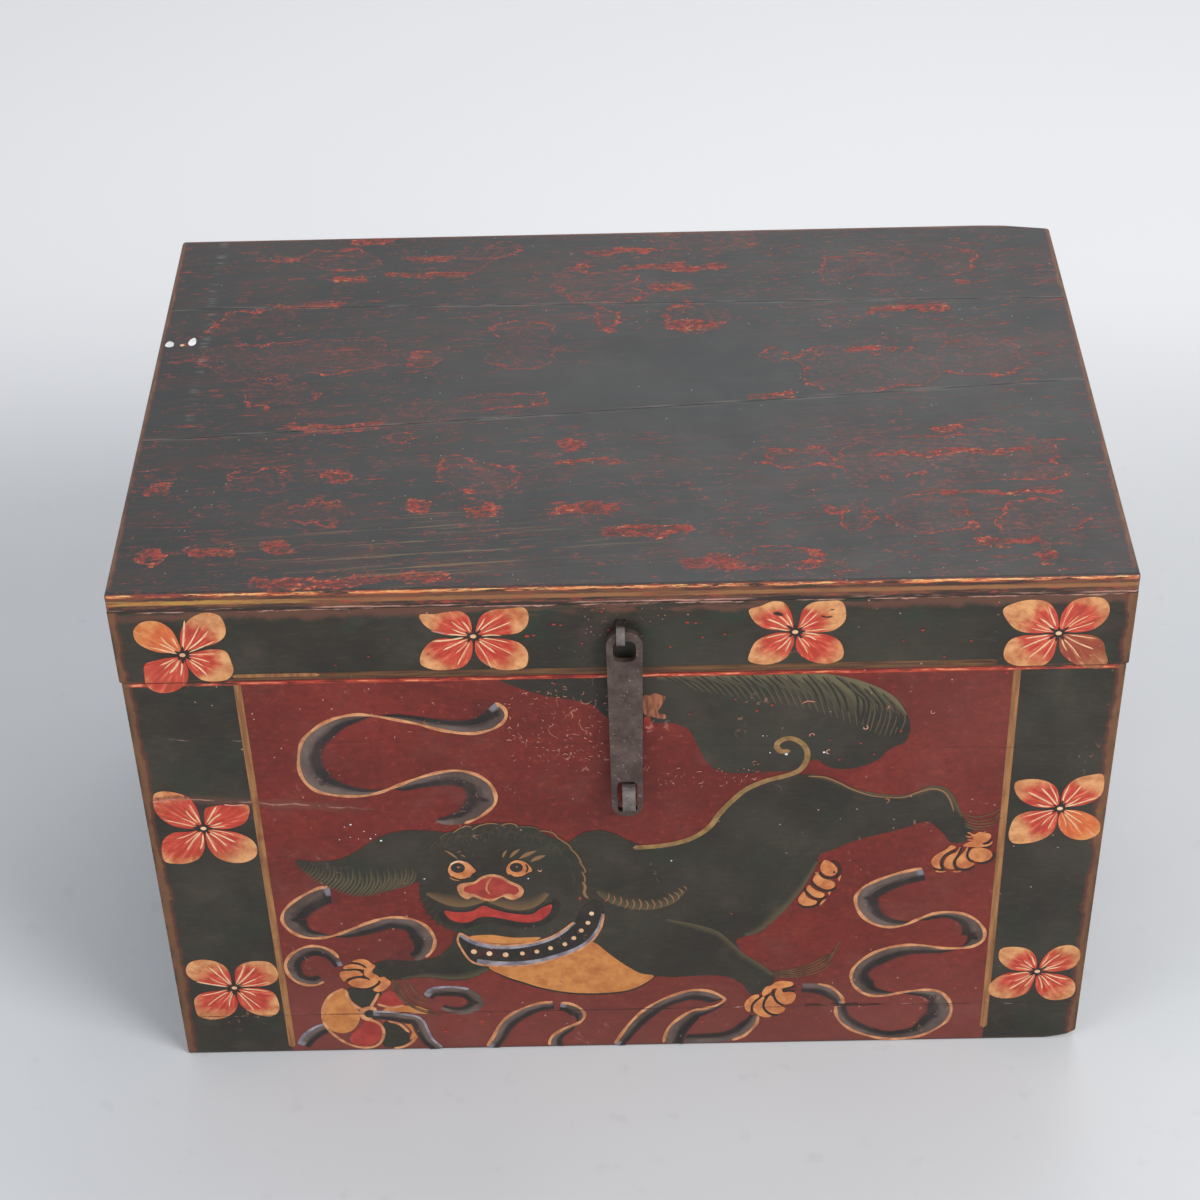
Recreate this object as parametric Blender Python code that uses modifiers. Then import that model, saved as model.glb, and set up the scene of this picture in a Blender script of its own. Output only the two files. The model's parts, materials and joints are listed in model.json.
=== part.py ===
"""A painted plank trunk with a lift-up lid, an iron hasp and wire loop hinges.

Metres, +Z up. The origin is on the floor under the middle of the trunk, -Y is the painted front.
Boards are nailed at lapped corners, and the floor is tongued into the walls.
"""

import math

import bmesh
import bpy
from mathutils import Matrix, Vector

# Overall sizes: the lid is the widest part, and the body stands in a little from it
WIDTH = 0.600
DEPTH = 0.390
HEIGHT = 0.400
LID_HEIGHT = 0.068
LID_OVERHANG = 0.001
LID_GAP = 0.0005

# Boards
WALL = 0.015
LID_TOP = 0.013
FLOOR = 0.012
FLOOR_TONGUE = 0.006
TONGUE_REACH = 0.006
LAP = 0.007
FIT = 0.0003
BODY_ARRIS = 0.0014
LID_ARRIS = 0.0024
ARRIS_STEPS = 3

# Where the boards meet: a board's width at its left end and at its right end
FRONT_UPPER = (0.045, 0.068)
FRONT_LOWER = (0.037, 0.036)
BACK_UPPER = (0.150, 0.138)
LEFT_UPPER = (0.172, 0.165)
RIGHT_UPPER = (0.140, 0.149)
TOP_FRONT = (0.152, 0.200)
TOP_BACK = (0.087, 0.095)
FLOOR_FRONT = (0.112, 0.105)
FLOOR_BACK = (0.104, 0.113)

# Wear that takes wood away: the lid's back right corner and the foot of the front right corner
BACK_WANE = (0.062, 0.008)
FOOT_CHIP = (0.024, 0.008)

# Hasp: a forged bar with an eye at its top and a slot over the lock staple
HASP_X = 0.001
HASP_ABOVE_SPLIT = 0.039
HASP_LENGTH = 0.1485
HASP_TOP_WIDTH = 0.0215
HASP_FOOT_WIDTH = 0.0190
HASP_THICKNESS = 0.0040
HASP_ROUNDING = 0.0009
HASP_STAND_OFF = 0.0035
HASP_RIM = 0.0070
EYE_WIDTH = 0.0135
EYE_LENGTH = 0.0160
EYE_CORNER = 0.0045
SLOT_WIDTH = 0.0120
SLOT_LENGTH = 0.0250
SLOT_CORNER = 0.0030
SLOT_RIM = 0.0040

# Staples of flat strap: the hasp's own in the lid, and the lock's in the body
HASP_STAPLE_WIDTH = 0.0050
HASP_STAPLE_STRAP = 0.0022
HASP_STAPLE_OFFSET = -0.0021
HASP_STAPLE_ROOM = 0.0006
LOCK_STAPLE_WIDTH = 0.0080
LOCK_STAPLE_STRAP = 0.0025
LOCK_STAPLE_OFFSET = 0.0010
LOCK_STAPLE_ROOM = 0.0015
LOCK_STAPLE_REACH = 0.0175
CLENCH = 0.009

# Loop hinges: a wire staple in the back wall, and a split pin in the lid that hangs on it
HINGE_X = 0.190
HINGE_STAND_OFF = 0.0070
STAPLE_WIRE = 0.0040
STAPLE_SPAN = 0.0160
STAPLE_DROP = 0.0100
STAPLE_KNEE = 0.0030
PIN_WIRE = 0.0034
PIN_RISE = 0.0120
PIN_LEG_GAP = 0.0008
PIN_TWIST = 0.0007
LOOP_ROOM = 0.0005
BEND = 0.0028

# Wrought nails
NAIL_HEAD = 0.0052
NAIL_HEAD_THICKNESS = 0.0012
NAIL_SHANK = 0.0026
NAIL_TIP = 0.0012
NAIL_LENGTH = 0.030
NAIL_SUNK = 0.0004
NAIL_SIDES = 8
NAIL_FROM_SEAM = 0.020

# Smoothness of arcs, wires and cutters, with angles in degrees
SHARP_ANGLE = 40
FORGED_ANGLE = 60
ARC_STEPS = 8
BEND_STEPS = 5
WIRE_STEPS = 2
HOLE_SIDES = 12
CUT_PAST = 0.004

# Sizes worked out from those above
BODY_W = WIDTH - 2 * LID_OVERHANG
BODY_D = DEPTH - 2 * LID_OVERHANG
SPLIT = HEIGHT - LID_HEIGHT
RIM = SPLIT - LID_GAP / 2
LID_FOOT = SPLIT + LID_GAP / 2
LID_DECK = HEIGHT - LID_TOP
HASP_TOP = SPLIT + HASP_ABOVE_SPLIT
LID_FRONT = -DEPTH / 2
BODY_FRONT = -BODY_D / 2
HASP_AXIS = Vector((HASP_X, LID_FRONT - HASP_STAND_OFF - HASP_THICKNESS / 2, HASP_TOP - HASP_RIM / 2))
LID_AXIS = Vector((0, DEPTH / 2 + HINGE_STAND_OFF, SPLIT))
SLOT_MIDDLE = HASP_TOP - HASP_LENGTH + SLOT_RIM + SLOT_LENGTH / 2

for old in list(bpy.data.objects):
    bpy.data.objects.remove(old)
PARTS = bpy.data.collections.new("painted_trunk")
CUTTERS = bpy.data.collections.new("cutters")
for group in (PARTS, CUTTERS):
    bpy.context.scene.collection.children.link(group)


def material(name, color, roughness, metallic=0.0):
    """A plain surface with the colour that the part has in daylight."""
    made = bpy.data.materials.new(name)
    made.use_nodes = True
    surface = made.node_tree.nodes["Principled BSDF"]
    surface.inputs["Base Color"].default_value = (*color, 1)
    surface.inputs["Roughness"].default_value = roughness
    surface.inputs["Metallic"].default_value = metallic
    return made


RED_PAINT = material("red_paint", (0.105, 0.016, 0.012), 0.5)
BLACK_PAINT = material("black_green_paint", (0.018, 0.020, 0.016), 0.5)
LID_LACQUER = material("lid_lacquer", (0.030, 0.027, 0.026), 0.42)
BARE_WOOD = material("bare_wood", (0.200, 0.105, 0.048), 0.75)
IRON = material("forged_iron", (0.060, 0.050, 0.045), 0.45, 0.85)


def empty(name, place, parent=None):
    """A bare axis that moving pieces hang from."""
    made = bpy.data.objects.new(name, None)
    made.location = place if parent is None else place - parent.location
    made.parent = parent
    PARTS.objects.link(made)
    return made


TRUNK = empty("trunk_frame", Vector((0, 0, 0)))
LID = empty("lid_axis", LID_AXIS, TRUNK)
HASP = empty("hasp_axis", HASP_AXIS, LID)
bpy.context.view_layer.update()


def put(name, mesh, surface, parent, place=Matrix.Identity(4)):
    """A part of the trunk, in place, carried by its body's axis."""
    made = bpy.data.objects.new(name, mesh)
    if not mesh.materials:
        mesh.materials.append(surface)
    PARTS.objects.link(made)
    made.parent = parent
    made.matrix_parent_inverse = parent.matrix_world.inverted()
    made.matrix_world = place
    return made


def cutter(name, mesh, place=Matrix.Identity(4)):
    """A tool that only takes wood or iron away."""
    made = bpy.data.objects.new(name, mesh)
    made.hide_render = True
    made.display_type = "WIRE"
    CUTTERS.objects.link(made)
    made.matrix_world = place
    return made


def cut(part, tool):
    step = part.modifiers.new("cut_" + tool.name, "BOOLEAN")
    step.operation = "DIFFERENCE"
    step.solver = "EXACT"
    step.object = tool


def mesh_of(name, bm):
    made = bpy.data.meshes.new(name)
    bmesh.ops.recalc_face_normals(bm, faces=bm.faces)
    bm.to_mesh(made)
    bm.free()
    return made


def box(name, low, high):
    """A block between two corners."""
    low, high = Vector(low), Vector(high)
    bm = bmesh.new()
    bmesh.ops.create_cube(bm, size=1)
    bmesh.ops.scale(bm, vec=high - low, verts=bm.verts)
    bmesh.ops.translate(bm, vec=(low + high) / 2, verts=bm.verts)
    return mesh_of(name, bm)


def slab(name, outlines, thickness, place=Matrix.Identity(4)):
    """A flat outline with a thickness. Further outlines are holes through it."""
    curve = bpy.data.curves.new(name, "CURVE")
    curve.dimensions = "2D"
    curve.fill_mode = "BOTH"
    curve.extrude = thickness / 2
    for outline in outlines:
        spline = curve.splines.new("POLY")
        spline.points.add(len(outline) - 1)
        for point, (x, y) in zip(spline.points, outline):
            point.co = (x, y, 0, 1)
        spline.use_cyclic_u = True
    return solid_from(curve, place)


def wire(name, points, diameter):
    """A round wire along a path, with closed ends."""
    curve = bpy.data.curves.new(name, "CURVE")
    curve.dimensions = "3D"
    curve.bevel_depth = diameter / 2
    curve.bevel_resolution = WIRE_STEPS
    curve.use_fill_caps = True
    spline = curve.splines.new("POLY")
    spline.points.add(len(points) - 1)
    for point, place in zip(spline.points, points):
        point.co = (*place, 1)
    return solid_from(curve, Matrix.Identity(4))


def solid_from(curve, place):
    """The curve as a closed mesh, with its caps welded to its sides and its flat faces whole."""
    weld = 1e-6
    flat = math.radians(0.5)
    name = curve.name
    guide = bpy.data.objects.new(name, curve)
    bpy.context.scene.collection.objects.link(guide)
    bpy.context.view_layer.update()
    drawn = bpy.data.meshes.new_from_object(guide.evaluated_get(bpy.context.evaluated_depsgraph_get()))
    bm = bmesh.new()
    bm.from_mesh(drawn)
    bmesh.ops.remove_doubles(bm, verts=bm.verts, dist=weld)
    bmesh.ops.dissolve_limit(bm, angle_limit=flat, verts=bm.verts, edges=bm.edges)
    bmesh.ops.transform(bm, matrix=place, verts=bm.verts)
    bpy.data.objects.remove(guide)
    bpy.data.curves.remove(curve)
    bpy.data.meshes.remove(drawn)
    return mesh_of(name, bm)


def smooth(part):
    part.data.shade_smooth()
    part.data.set_sharp_from_angle(angle=math.radians(SHARP_ANGLE))


def arc(middle, radius, start, end, steps=ARC_STEPS):
    """Points of an arc in a plane, with its angles in degrees."""
    turn = [math.radians(start + (end - start) * i / steps) for i in range(steps + 1)]
    return [(middle[0] + radius * math.cos(a), middle[1] + radius * math.sin(a)) for a in turn]


def rounded_rectangle(width, height, corner, middle):
    right, top = width / 2 - corner, height / 2 - corner
    outline = []
    for i, (x, y) in enumerate([(right, top), (-right, top), (-right, -top), (right, -top)]):
        outline += arc((middle[0] + x, middle[1] + y), corner, 90 * i, 90 * i + 90)
    return outline


def bent(points, radii):
    """A path with each corner turned into an arc of its radius, or less where it is short of room."""
    just_under_half = 0.49
    points = [Vector(p) for p in points]
    path = [points[0]]
    for before, corner, after, radius in zip(points, points[1:], points[2:], radii):
        back, on = (before - corner), (after - corner)
        half = back.angle(on) / 2
        room = just_under_half * min(back.length, on.length)
        reach = min(radius / math.tan(half), room)
        first, last = corner + back.normalized() * reach, corner + on.normalized() * reach
        centre = corner + (back.normalized() + on.normalized()).normalized() * reach / math.cos(half)
        spoke, end = first - centre, last - centre
        for i in range(BEND_STEPS + 1):
            path.append(centre + spoke.slerp(end, i / BEND_STEPS) * spoke.length)
    return path + [points[-1]]


def strap(path, thickness):
    """The outline of a bent strap seen from its edge, from the line along its middle."""
    sharpest = 0.3
    path = [Vector(p) for p in path]
    left, right = [], []
    for i, point in enumerate(path):
        before = (point - path[i - 1]).normalized() if i else (path[1] - point).normalized()
        after = (path[i + 1] - point).normalized() if i + 1 < len(path) else before
        side = Vector((-(before + after).y, (before + after).x)).normalized()
        half = thickness / 2 / max(side.dot(Vector((-after.y, after.x))), sharpest)
        left.append(point + side * half)
        right.append(point - side * half)
    return left + right[::-1]


def soften(part, low, high, width):
    """Rounds the edges where two outer faces of the whole box between two corners meet."""
    near = 1e-5
    square = 0.99
    bm = bmesh.new()
    bm.from_mesh(part.data)
    weights = bm.edges.layers.float.new("bevel_weight_edge")

    def outside(face):
        middle = face.calc_center_median()
        return any(
            abs(middle[i] - side[i]) < near and abs(face.normal[i]) > square
            for side in (low, high)
            for i in range(3)
        )

    for edge in bm.edges:
        edge[weights] = float(len(edge.link_faces) == 2 and all(outside(f) for f in edge.link_faces))
    bm.to_mesh(part.data)
    bm.free()
    step = part.modifiers.new("arris", "BEVEL")
    step.limit_method = "WEIGHT"
    step.width = width
    step.segments = ARRIS_STEPS


BODY_BOX = ((-BODY_W / 2, -BODY_D / 2, 0), (BODY_W / 2, BODY_D / 2, RIM))
LID_BOX = ((-WIDTH / 2, -DEPTH / 2, LID_FOOT), (WIDTH / 2, DEPTH / 2, HEIGHT))


# Front and back walls, which lap over the ends of the sides
def standing(y):
    """Turns a flat outline of x and height into an upright board whose middle is at y."""
    return Matrix.Translation((0, y, 0)) @ Matrix.Rotation(math.pi / 2, 4, "X")


def lap_cutter(name, half_w, half_d, low, high):
    """Four corner posts of waste: where the side boards come through behind the lapping boards."""
    tools = []
    for x_sign, x_word in ((-1, "left"), (1, "right")):
        for y_sign, y_word in ((-1, "front"), (1, "back")):
            x = sorted((x_sign * (half_w - WALL - FIT), x_sign * (half_w + CUT_PAST)))
            y = sorted((y_sign * (half_d - LAP), y_sign * (half_d - WALL - CUT_PAST)))
            label = f"{name}_{x_word}_{y_word}"
            tools.append(cutter(label, box(label, (x[0], y[0], low), (x[1], y[1], high))))
    return tools


def wall_boards(side, sign, edges):
    """The front or back wall, cut into boards at lines that run from a left height to a right height."""
    middle = sign * (BODY_D / 2 - WALL / 2)
    half = BODY_W / 2
    boards = []
    for i, name in enumerate(edges["names"]):
        (top_left, top_right), (foot_left, foot_right) = edges["lines"][i], edges["lines"][i + 1]
        outline = [
            (-half, foot_left + FIT / 2 * (foot_left > 0)),
            (half, foot_right + FIT / 2 * (foot_right > 0)),
            (half, top_right - FIT / 2 * (top_right < RIM)),
            (-half, top_left - FIT / 2 * (top_left < RIM)),
        ]
        if name == "front_lower_plank":
            long, tall = FOOT_CHIP
            outline[1:2] = [(half - long, 0), (half - long / 4, tall / 2), (half, tall)]
        surface = {"front": RED_PAINT, "back": BARE_WOOD}[side]
        board = put(name, slab(name, [outline], WALL, standing(middle)), surface, TRUNK)
        soften(board, *BODY_BOX, BODY_ARRIS)
        for tool in BODY_LAPS:
            if tool.name.endswith(side):
                cut(board, tool)
        boards.append(board)
    return boards


BODY_LAPS = lap_cutter("body_lap", BODY_W / 2, BODY_D / 2, -CUT_PAST, RIM + CUT_PAST)
FRONT = wall_boards(
    "front",
    -1,
    {
        "names": ["front_upper_plank", "front_middle_plank", "front_lower_plank"],
        "lines": [(RIM, RIM), (RIM - FRONT_UPPER[0], RIM - FRONT_UPPER[1]), FRONT_LOWER, (0, 0)],
    },
)
BACK = wall_boards(
    "back",
    1,
    {
        "names": ["back_upper_plank", "back_lower_plank"],
        "lines": [(RIM, RIM), (RIM - BACK_UPPER[0], RIM - BACK_UPPER[1]), (0, 0)],
    },
)


# Side walls, which stand between the laps
def side_boards(side, sign, upper):
    x = sign * (BODY_W / 2 - WALL / 2)
    half = BODY_D / 2 - LAP - FIT
    quarter = math.pi / 2
    turn = Matrix.Rotation(quarter, 4, "Z") @ Matrix.Rotation(quarter, 4, "X")
    upright = Matrix.Translation((x, 0, 0)) @ turn
    seam_front, seam_back = RIM - upper[0], RIM - upper[1]
    outlines = {
        "upper": [(-half, seam_front + FIT / 2), (half, seam_back + FIT / 2), (half, RIM), (-half, RIM)],
        "lower": [(-half, 0), (half, 0), (half, seam_back - FIT / 2), (-half, seam_front - FIT / 2)],
    }
    boards = []
    for level, outline in outlines.items():
        name = f"{side}_{level}_plank"
        board = put(name, slab(name, [outline], WALL, upright), BLACK_PAINT, TRUNK)
        soften(board, *BODY_BOX, BODY_ARRIS)
        boards.append(board)
    return boards


LEFT = side_boards("left", -1, LEFT_UPPER)
RIGHT = side_boards("right", 1, RIGHT_UPPER)


# Floor boards, whose upper half is a tongue in a groove round the walls
INNER_W = BODY_W / 2 - WALL
INNER_D = BODY_D / 2 - WALL
GROOVE = cutter(
    "floor_groove",
    box(
        "floor_groove",
        (-INNER_W - TONGUE_REACH - FIT, -INNER_D - TONGUE_REACH - FIT, FLOOR - FLOOR_TONGUE - FIT),
        (INNER_W + TONGUE_REACH + FIT, INNER_D + TONGUE_REACH + FIT, FLOOR + FIT),
    ),
)
for board in (FRONT[-1], BACK[-1], LEFT[-1], RIGHT[-1]):
    cut(board, GROOVE)


def floor_rebates():
    """What is cut from under the floor's edges to leave the tongue."""
    far = CUT_PAST + TONGUE_REACH
    top = FLOOR - FLOOR_TONGUE
    in_w, in_d = INNER_W - FIT, INNER_D - FIT
    spans = {
        "left": ((-in_w - far, -in_d - far), (-in_w, in_d + far)),
        "right": ((in_w, -in_d - far), (in_w + far, in_d + far)),
        "front": ((-in_w - far, -in_d - far), (in_w + far, -in_d)),
        "back": ((-in_w - far, in_d), (in_w + far, in_d + far)),
    }
    return {
        side: cutter(f"floor_rebate_{side}", box(f"floor_rebate_{side}", (*low, -CUT_PAST), (*high, top)))
        for side, (low, high) in spans.items()
    }


def floor_boards():
    half_w, half_d = INNER_W + TONGUE_REACH, INNER_D + TONGUE_REACH
    near = [(-half_d + FLOOR_FRONT[0]), (-half_d + FLOOR_FRONT[1])]
    far = [(half_d - FLOOR_BACK[0]), (half_d - FLOOR_BACK[1])]
    rows = {
        "floor_front_plank": ([-half_d, -half_d], near),
        "floor_middle_plank": (near, far),
        "floor_back_plank": (far, [half_d, half_d]),
    }
    rebates = floor_rebates()
    place = Matrix.Translation((0, 0, FLOOR / 2))
    for name, (low, high) in rows.items():
        shift = [FIT / 2 * (side not in ([-half_d, -half_d], [half_d, half_d])) for side in (low, high)]
        outline = [
            (-half_w, low[0] + shift[0]),
            (half_w, low[1] + shift[0]),
            (half_w, high[1] - shift[1]),
            (-half_w, high[0] - shift[1]),
        ]
        board = put(name, slab(name, [outline], FLOOR, place), BARE_WOOD, TRUNK)
        for side in ("left", "right", *[s for s in ("front", "back") if s in name]):
            cut(board, rebates[side])


floor_boards()


# Lid: four rails lapped like the walls, under three tapered boards
def lid_rails():
    half_w, half_d = WIDTH / 2, DEPTH / 2
    low, high = LID_FOOT, LID_DECK - FIT
    laps = lap_cutter("lid_lap", half_w, half_d, low - CUT_PAST, high + CUT_PAST)
    end = half_d - LAP - FIT
    spans = {
        "lid_front_rail": ((-half_w, -half_d), (half_w, WALL - half_d)),
        "lid_back_rail": ((-half_w, half_d - WALL), (half_w, half_d)),
        "lid_left_rail": ((-half_w, -end), (WALL - half_w, end)),
        "lid_right_rail": ((half_w - WALL, -end), (half_w, end)),
    }
    rails = {}
    for name, (near, far) in spans.items():
        surface = BARE_WOOD if "back" in name else BLACK_PAINT
        rail = put(name, box(name, (*near, low), (*far, high)), surface, LID)
        soften(rail, *LID_BOX, BODY_ARRIS)
        for tool in laps:
            if any(tool.name.endswith(side) and side in name for side in ("front", "back")):
                cut(rail, tool)
        rails[name] = rail
    return rails


def lid_boards():
    half_w, half_d = WIDTH / 2, DEPTH / 2
    near = [TOP_FRONT[0] - half_d, TOP_FRONT[1] - half_d]
    far = [half_d - TOP_BACK[0], half_d - TOP_BACK[1]]
    gap = FIT / 2
    outlines = {
        "lid_front_plank": [
            (-half_w, -half_d),
            (half_w, -half_d),
            (half_w, near[1] - gap),
            (-half_w, near[0] - gap),
        ],
        "lid_middle_plank": [
            (-half_w, near[0] + gap),
            (half_w, near[1] + gap),
            (half_w, far[1] - gap),
            (-half_w, far[0] - gap),
        ],
        "lid_back_plank": [
            (-half_w, far[0] + gap),
            (half_w, far[1] + gap),
            (half_w, half_d - BACK_WANE[1]),
            (half_w - BACK_WANE[0] / 2, half_d - BACK_WANE[1] / 3),
            (half_w - BACK_WANE[0], half_d),
            (-half_w, half_d),
        ],
    }
    place = Matrix.Translation((0, 0, HEIGHT - LID_TOP / 2))
    boards = {}
    for name, outline in outlines.items():
        boards[name] = put(name, slab(name, [outline], LID_TOP, place), LID_LACQUER, LID)
        soften(boards[name], *LID_BOX, LID_ARRIS)
    return boards


RAILS = lid_rails()
TOPS = lid_boards()


# Hasp: one forged bar, hung by its eye
def hasp():
    top, foot = HASP_TOP_WIDTH / 2, HASP_FOOT_WIDTH / 2
    high = HASP_RIM / 2
    low = high - HASP_LENGTH
    lean = math.degrees(math.asin((top - foot) / (HASP_LENGTH - top - foot)))
    bar = arc((0, high - top), top, -lean, 180 + lean, 2 * ARC_STEPS)
    bar += arc((0, low + foot), foot, 180 + lean, 360 - lean, 2 * ARC_STEPS)
    eye = rounded_rectangle(EYE_WIDTH, EYE_LENGTH, EYE_CORNER, (0, -HASP_RIM / 2 - EYE_LENGTH / 2))
    slot = rounded_rectangle(SLOT_WIDTH, SLOT_LENGTH, SLOT_CORNER, (0, low + SLOT_RIM + SLOT_LENGTH / 2))
    upright = Matrix.Rotation(math.pi / 2, 4, "X")
    made = put("hasp", slab("hasp", [bar, eye, slot], HASP_THICKNESS, upright), IRON, HASP)
    made.matrix_world = Matrix.Translation(HASP_AXIS)
    edge = made.modifiers.new("forged_edge", "BEVEL")
    edge.width = HASP_ROUNDING
    edge.segments = 2
    edge.limit_method = "ANGLE"
    edge.angle_limit = math.radians(FORGED_ANGLE)
    smooth(made)


hasp()


def strap_staple(name, board, parent, face, middle, shape):
    """A strap bent to a loop whose legs go through a board and are clenched on its inner side."""
    radius, centre, strap_thickness, width = shape
    inside = -WALL - FIT - strap_thickness / 2
    path = [(inside, radius + CLENCH), (inside, radius), (centre, radius)]
    path += arc((centre, 0), radius, 90, -90, 2 * ARC_STEPS)[1:-1]
    path += [(centre, -radius), (inside, -radius), (inside, -radius - CLENCH)]
    upright = Matrix(((0, 0, 1, 0), (-1, 0, 0, 0), (0, 1, 0, 0), (0, 0, 0, 1)))
    place = Matrix.Translation((middle[0], face, middle[1]))
    made = put(name, slab(name, [strap(path, strap_thickness)], width, upright), IRON, parent, place)
    smooth(made)
    for sign, word in ((1, "upper"), (-1, "lower")):
        label = f"{name}_{word}_hole"
        half = Vector((width / 2 + FIT, 0, strap_thickness / 2 + FIT))
        low = Vector((middle[0], face - CUT_PAST, middle[1] + sign * radius)) - half
        high = Vector((middle[0], face + WALL + CUT_PAST, middle[1] + sign * radius)) + half
        cut(board, cutter(label, box(label, low, high)))


RIM_CORNER = math.hypot(HASP_RIM / 2, HASP_THICKNESS / 2)
strap_staple(
    "hasp_staple",
    RAILS["lid_front_rail"],
    LID,
    LID_FRONT,
    (HASP_X + HASP_STAPLE_OFFSET, HASP_AXIS.z),
    (
        RIM_CORNER + HASP_STAPLE_ROOM + HASP_STAPLE_STRAP / 2,
        HASP_STAND_OFF + HASP_THICKNESS / 2,
        HASP_STAPLE_STRAP,
        HASP_STAPLE_WIDTH,
    ),
)
LOCK_RADIUS = SLOT_LENGTH / 2 - LOCK_STAPLE_ROOM - LOCK_STAPLE_STRAP / 2
strap_staple(
    "lock_staple",
    FRONT[1],
    TRUNK,
    BODY_FRONT,
    (HASP_X + LOCK_STAPLE_OFFSET, SLOT_MIDDLE),
    (
        LOCK_RADIUS,
        LOCK_STAPLE_REACH - LOCK_STAPLE_STRAP / 2 - LOCK_RADIUS,
        LOCK_STAPLE_STRAP,
        LOCK_STAPLE_WIDTH,
    ),
)


# Loop hinges
def hinge(side, x):
    """A wire staple in the back wall and the lid's split pin, whose loop turns on the staple's bar."""
    out, up = LID_AXIS.y, LID_AXIS.z
    body_in = BODY_D / 2 - WALL - FIT - STAPLE_WIRE / 2
    leg = STAPLE_SPAN / 2
    drop = up - STAPLE_DROP
    right = [
        (x + leg, body_in, drop - CLENCH),
        (x + leg, body_in, drop),
        (x + leg, out - STAPLE_KNEE, drop),
        (x + leg, out, up),
    ]
    left = [(2 * x - px, py, pz) for px, py, pz in right[::-1]]
    name = f"hinge_staple_{side}"
    clenched = STAPLE_WIRE / 2 + FIT
    bends = [clenched, BEND, BEND, BEND, BEND, clenched]
    smooth(put(name, wire(name, bent(right + left, bends), STAPLE_WIRE), IRON, TRUNK))

    loop = STAPLE_WIRE / 2 + LOOP_ROOM + PIN_WIRE / 2
    apart = PIN_WIRE / 2 + PIN_LEG_GAP / 2
    lid_in = DEPTH / 2 - WALL - FIT - PIN_WIRE / 2
    rise = up + PIN_RISE
    pin = [
        (x - apart - CLENCH, lid_in, rise),
        (x - apart, lid_in, rise),
        (x - apart, out - loop, rise),
        (x - PIN_TWIST, out - loop, up - loop),
        (x + PIN_TWIST, out + loop, up - loop),
        (x + apart, out + loop, rise),
        (x + apart, lid_in, rise),
        (x + apart + CLENCH, lid_in, rise),
    ]
    name = f"hinge_pin_{side}"
    clenched = PIN_WIRE / 2 + FIT
    bends = [clenched, HINGE_STAND_OFF - loop, loop, loop, loop, clenched]
    smooth(put(name, wire(name, bent(pin, bends), PIN_WIRE), IRON, LID))

    half = apart + PIN_WIRE / 2 + FIT
    tall = PIN_WIRE / 2 + FIT
    label = f"hinge_pin_hole_{side}"
    low = (x - half, DEPTH / 2 - WALL - CUT_PAST, rise - tall)
    high = (x + half, DEPTH / 2 + CUT_PAST, rise + tall)
    cut(RAILS["lid_back_rail"], cutter(label, box(label, low, high)))
    for sign, word in ((-1, "a"), (1, "b")):
        bm = bmesh.new()
        bore = STAPLE_WIRE / 2 + FIT
        deep = WALL + 2 * CUT_PAST
        bmesh.ops.create_cone(bm, cap_ends=True, segments=HOLE_SIDES, radius1=bore, radius2=bore, depth=deep)
        label = f"hinge_staple_hole_{side}_{word}"
        middle = Matrix.Translation((x + sign * leg, BODY_D / 2 - WALL / 2, drop))
        place = middle @ Matrix.Rotation(math.pi / 2, 4, "X")
        cut(BACK[0], cutter(label, mesh_of(label, bm), place))


hinge("left", -HINGE_X)
hinge("right", HINGE_X)


# Nails
def nail_profile(name, room):
    """Half of a wrought nail from the middle of its head to its tip, with some room round it for its hole."""
    head, shank, tip = NAIL_HEAD / 2 + room, NAIL_SHANK / 2 + room, NAIL_TIP / 2 + room
    top = CUT_PAST if room else NAIL_HEAD_THICKNESS / 4
    points = [
        (0, top),
        (head if room else head / 2, top),
        (head, 0),
        (head, -NAIL_HEAD_THICKNESS - room),
        (shank, -NAIL_HEAD_THICKNESS - room),
        (tip, -NAIL_LENGTH - room),
        (0, -NAIL_LENGTH - room),
    ]
    made = bpy.data.meshes.new(name)
    made.from_pydata([(r, 0, z) for r, z in points], [(i, i + 1) for i in range(len(points) - 1)], [])
    return made


def turned(part):
    step = part.modifiers.new("turned", "SCREW")
    step.steps = step.render_steps = NAIL_SIDES
    step.use_merge_vertices = True
    step.merge_threshold = 1e-5


NAIL = nail_profile("nail", 0)
NAIL_HOLE = nail_profile("nail_hole", FIT)
DOWN = Vector((0, 0, -1))


def nail(name, head, way, boards, surface, parent):
    """A nail driven through one board into another, with the hole that it made in both."""
    way = Vector(way)
    at = Vector(head) + way * NAIL_SUNK
    place = Matrix.Translation(at) @ DOWN.rotation_difference(way).to_matrix().to_4x4()
    made = put(name, NAIL, surface, parent, place)
    turned(made)
    hole = cutter(name + "_hole", NAIL_HOLE, place)
    turned(hole)
    for board in boards:
        cut(board, hole)


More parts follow.
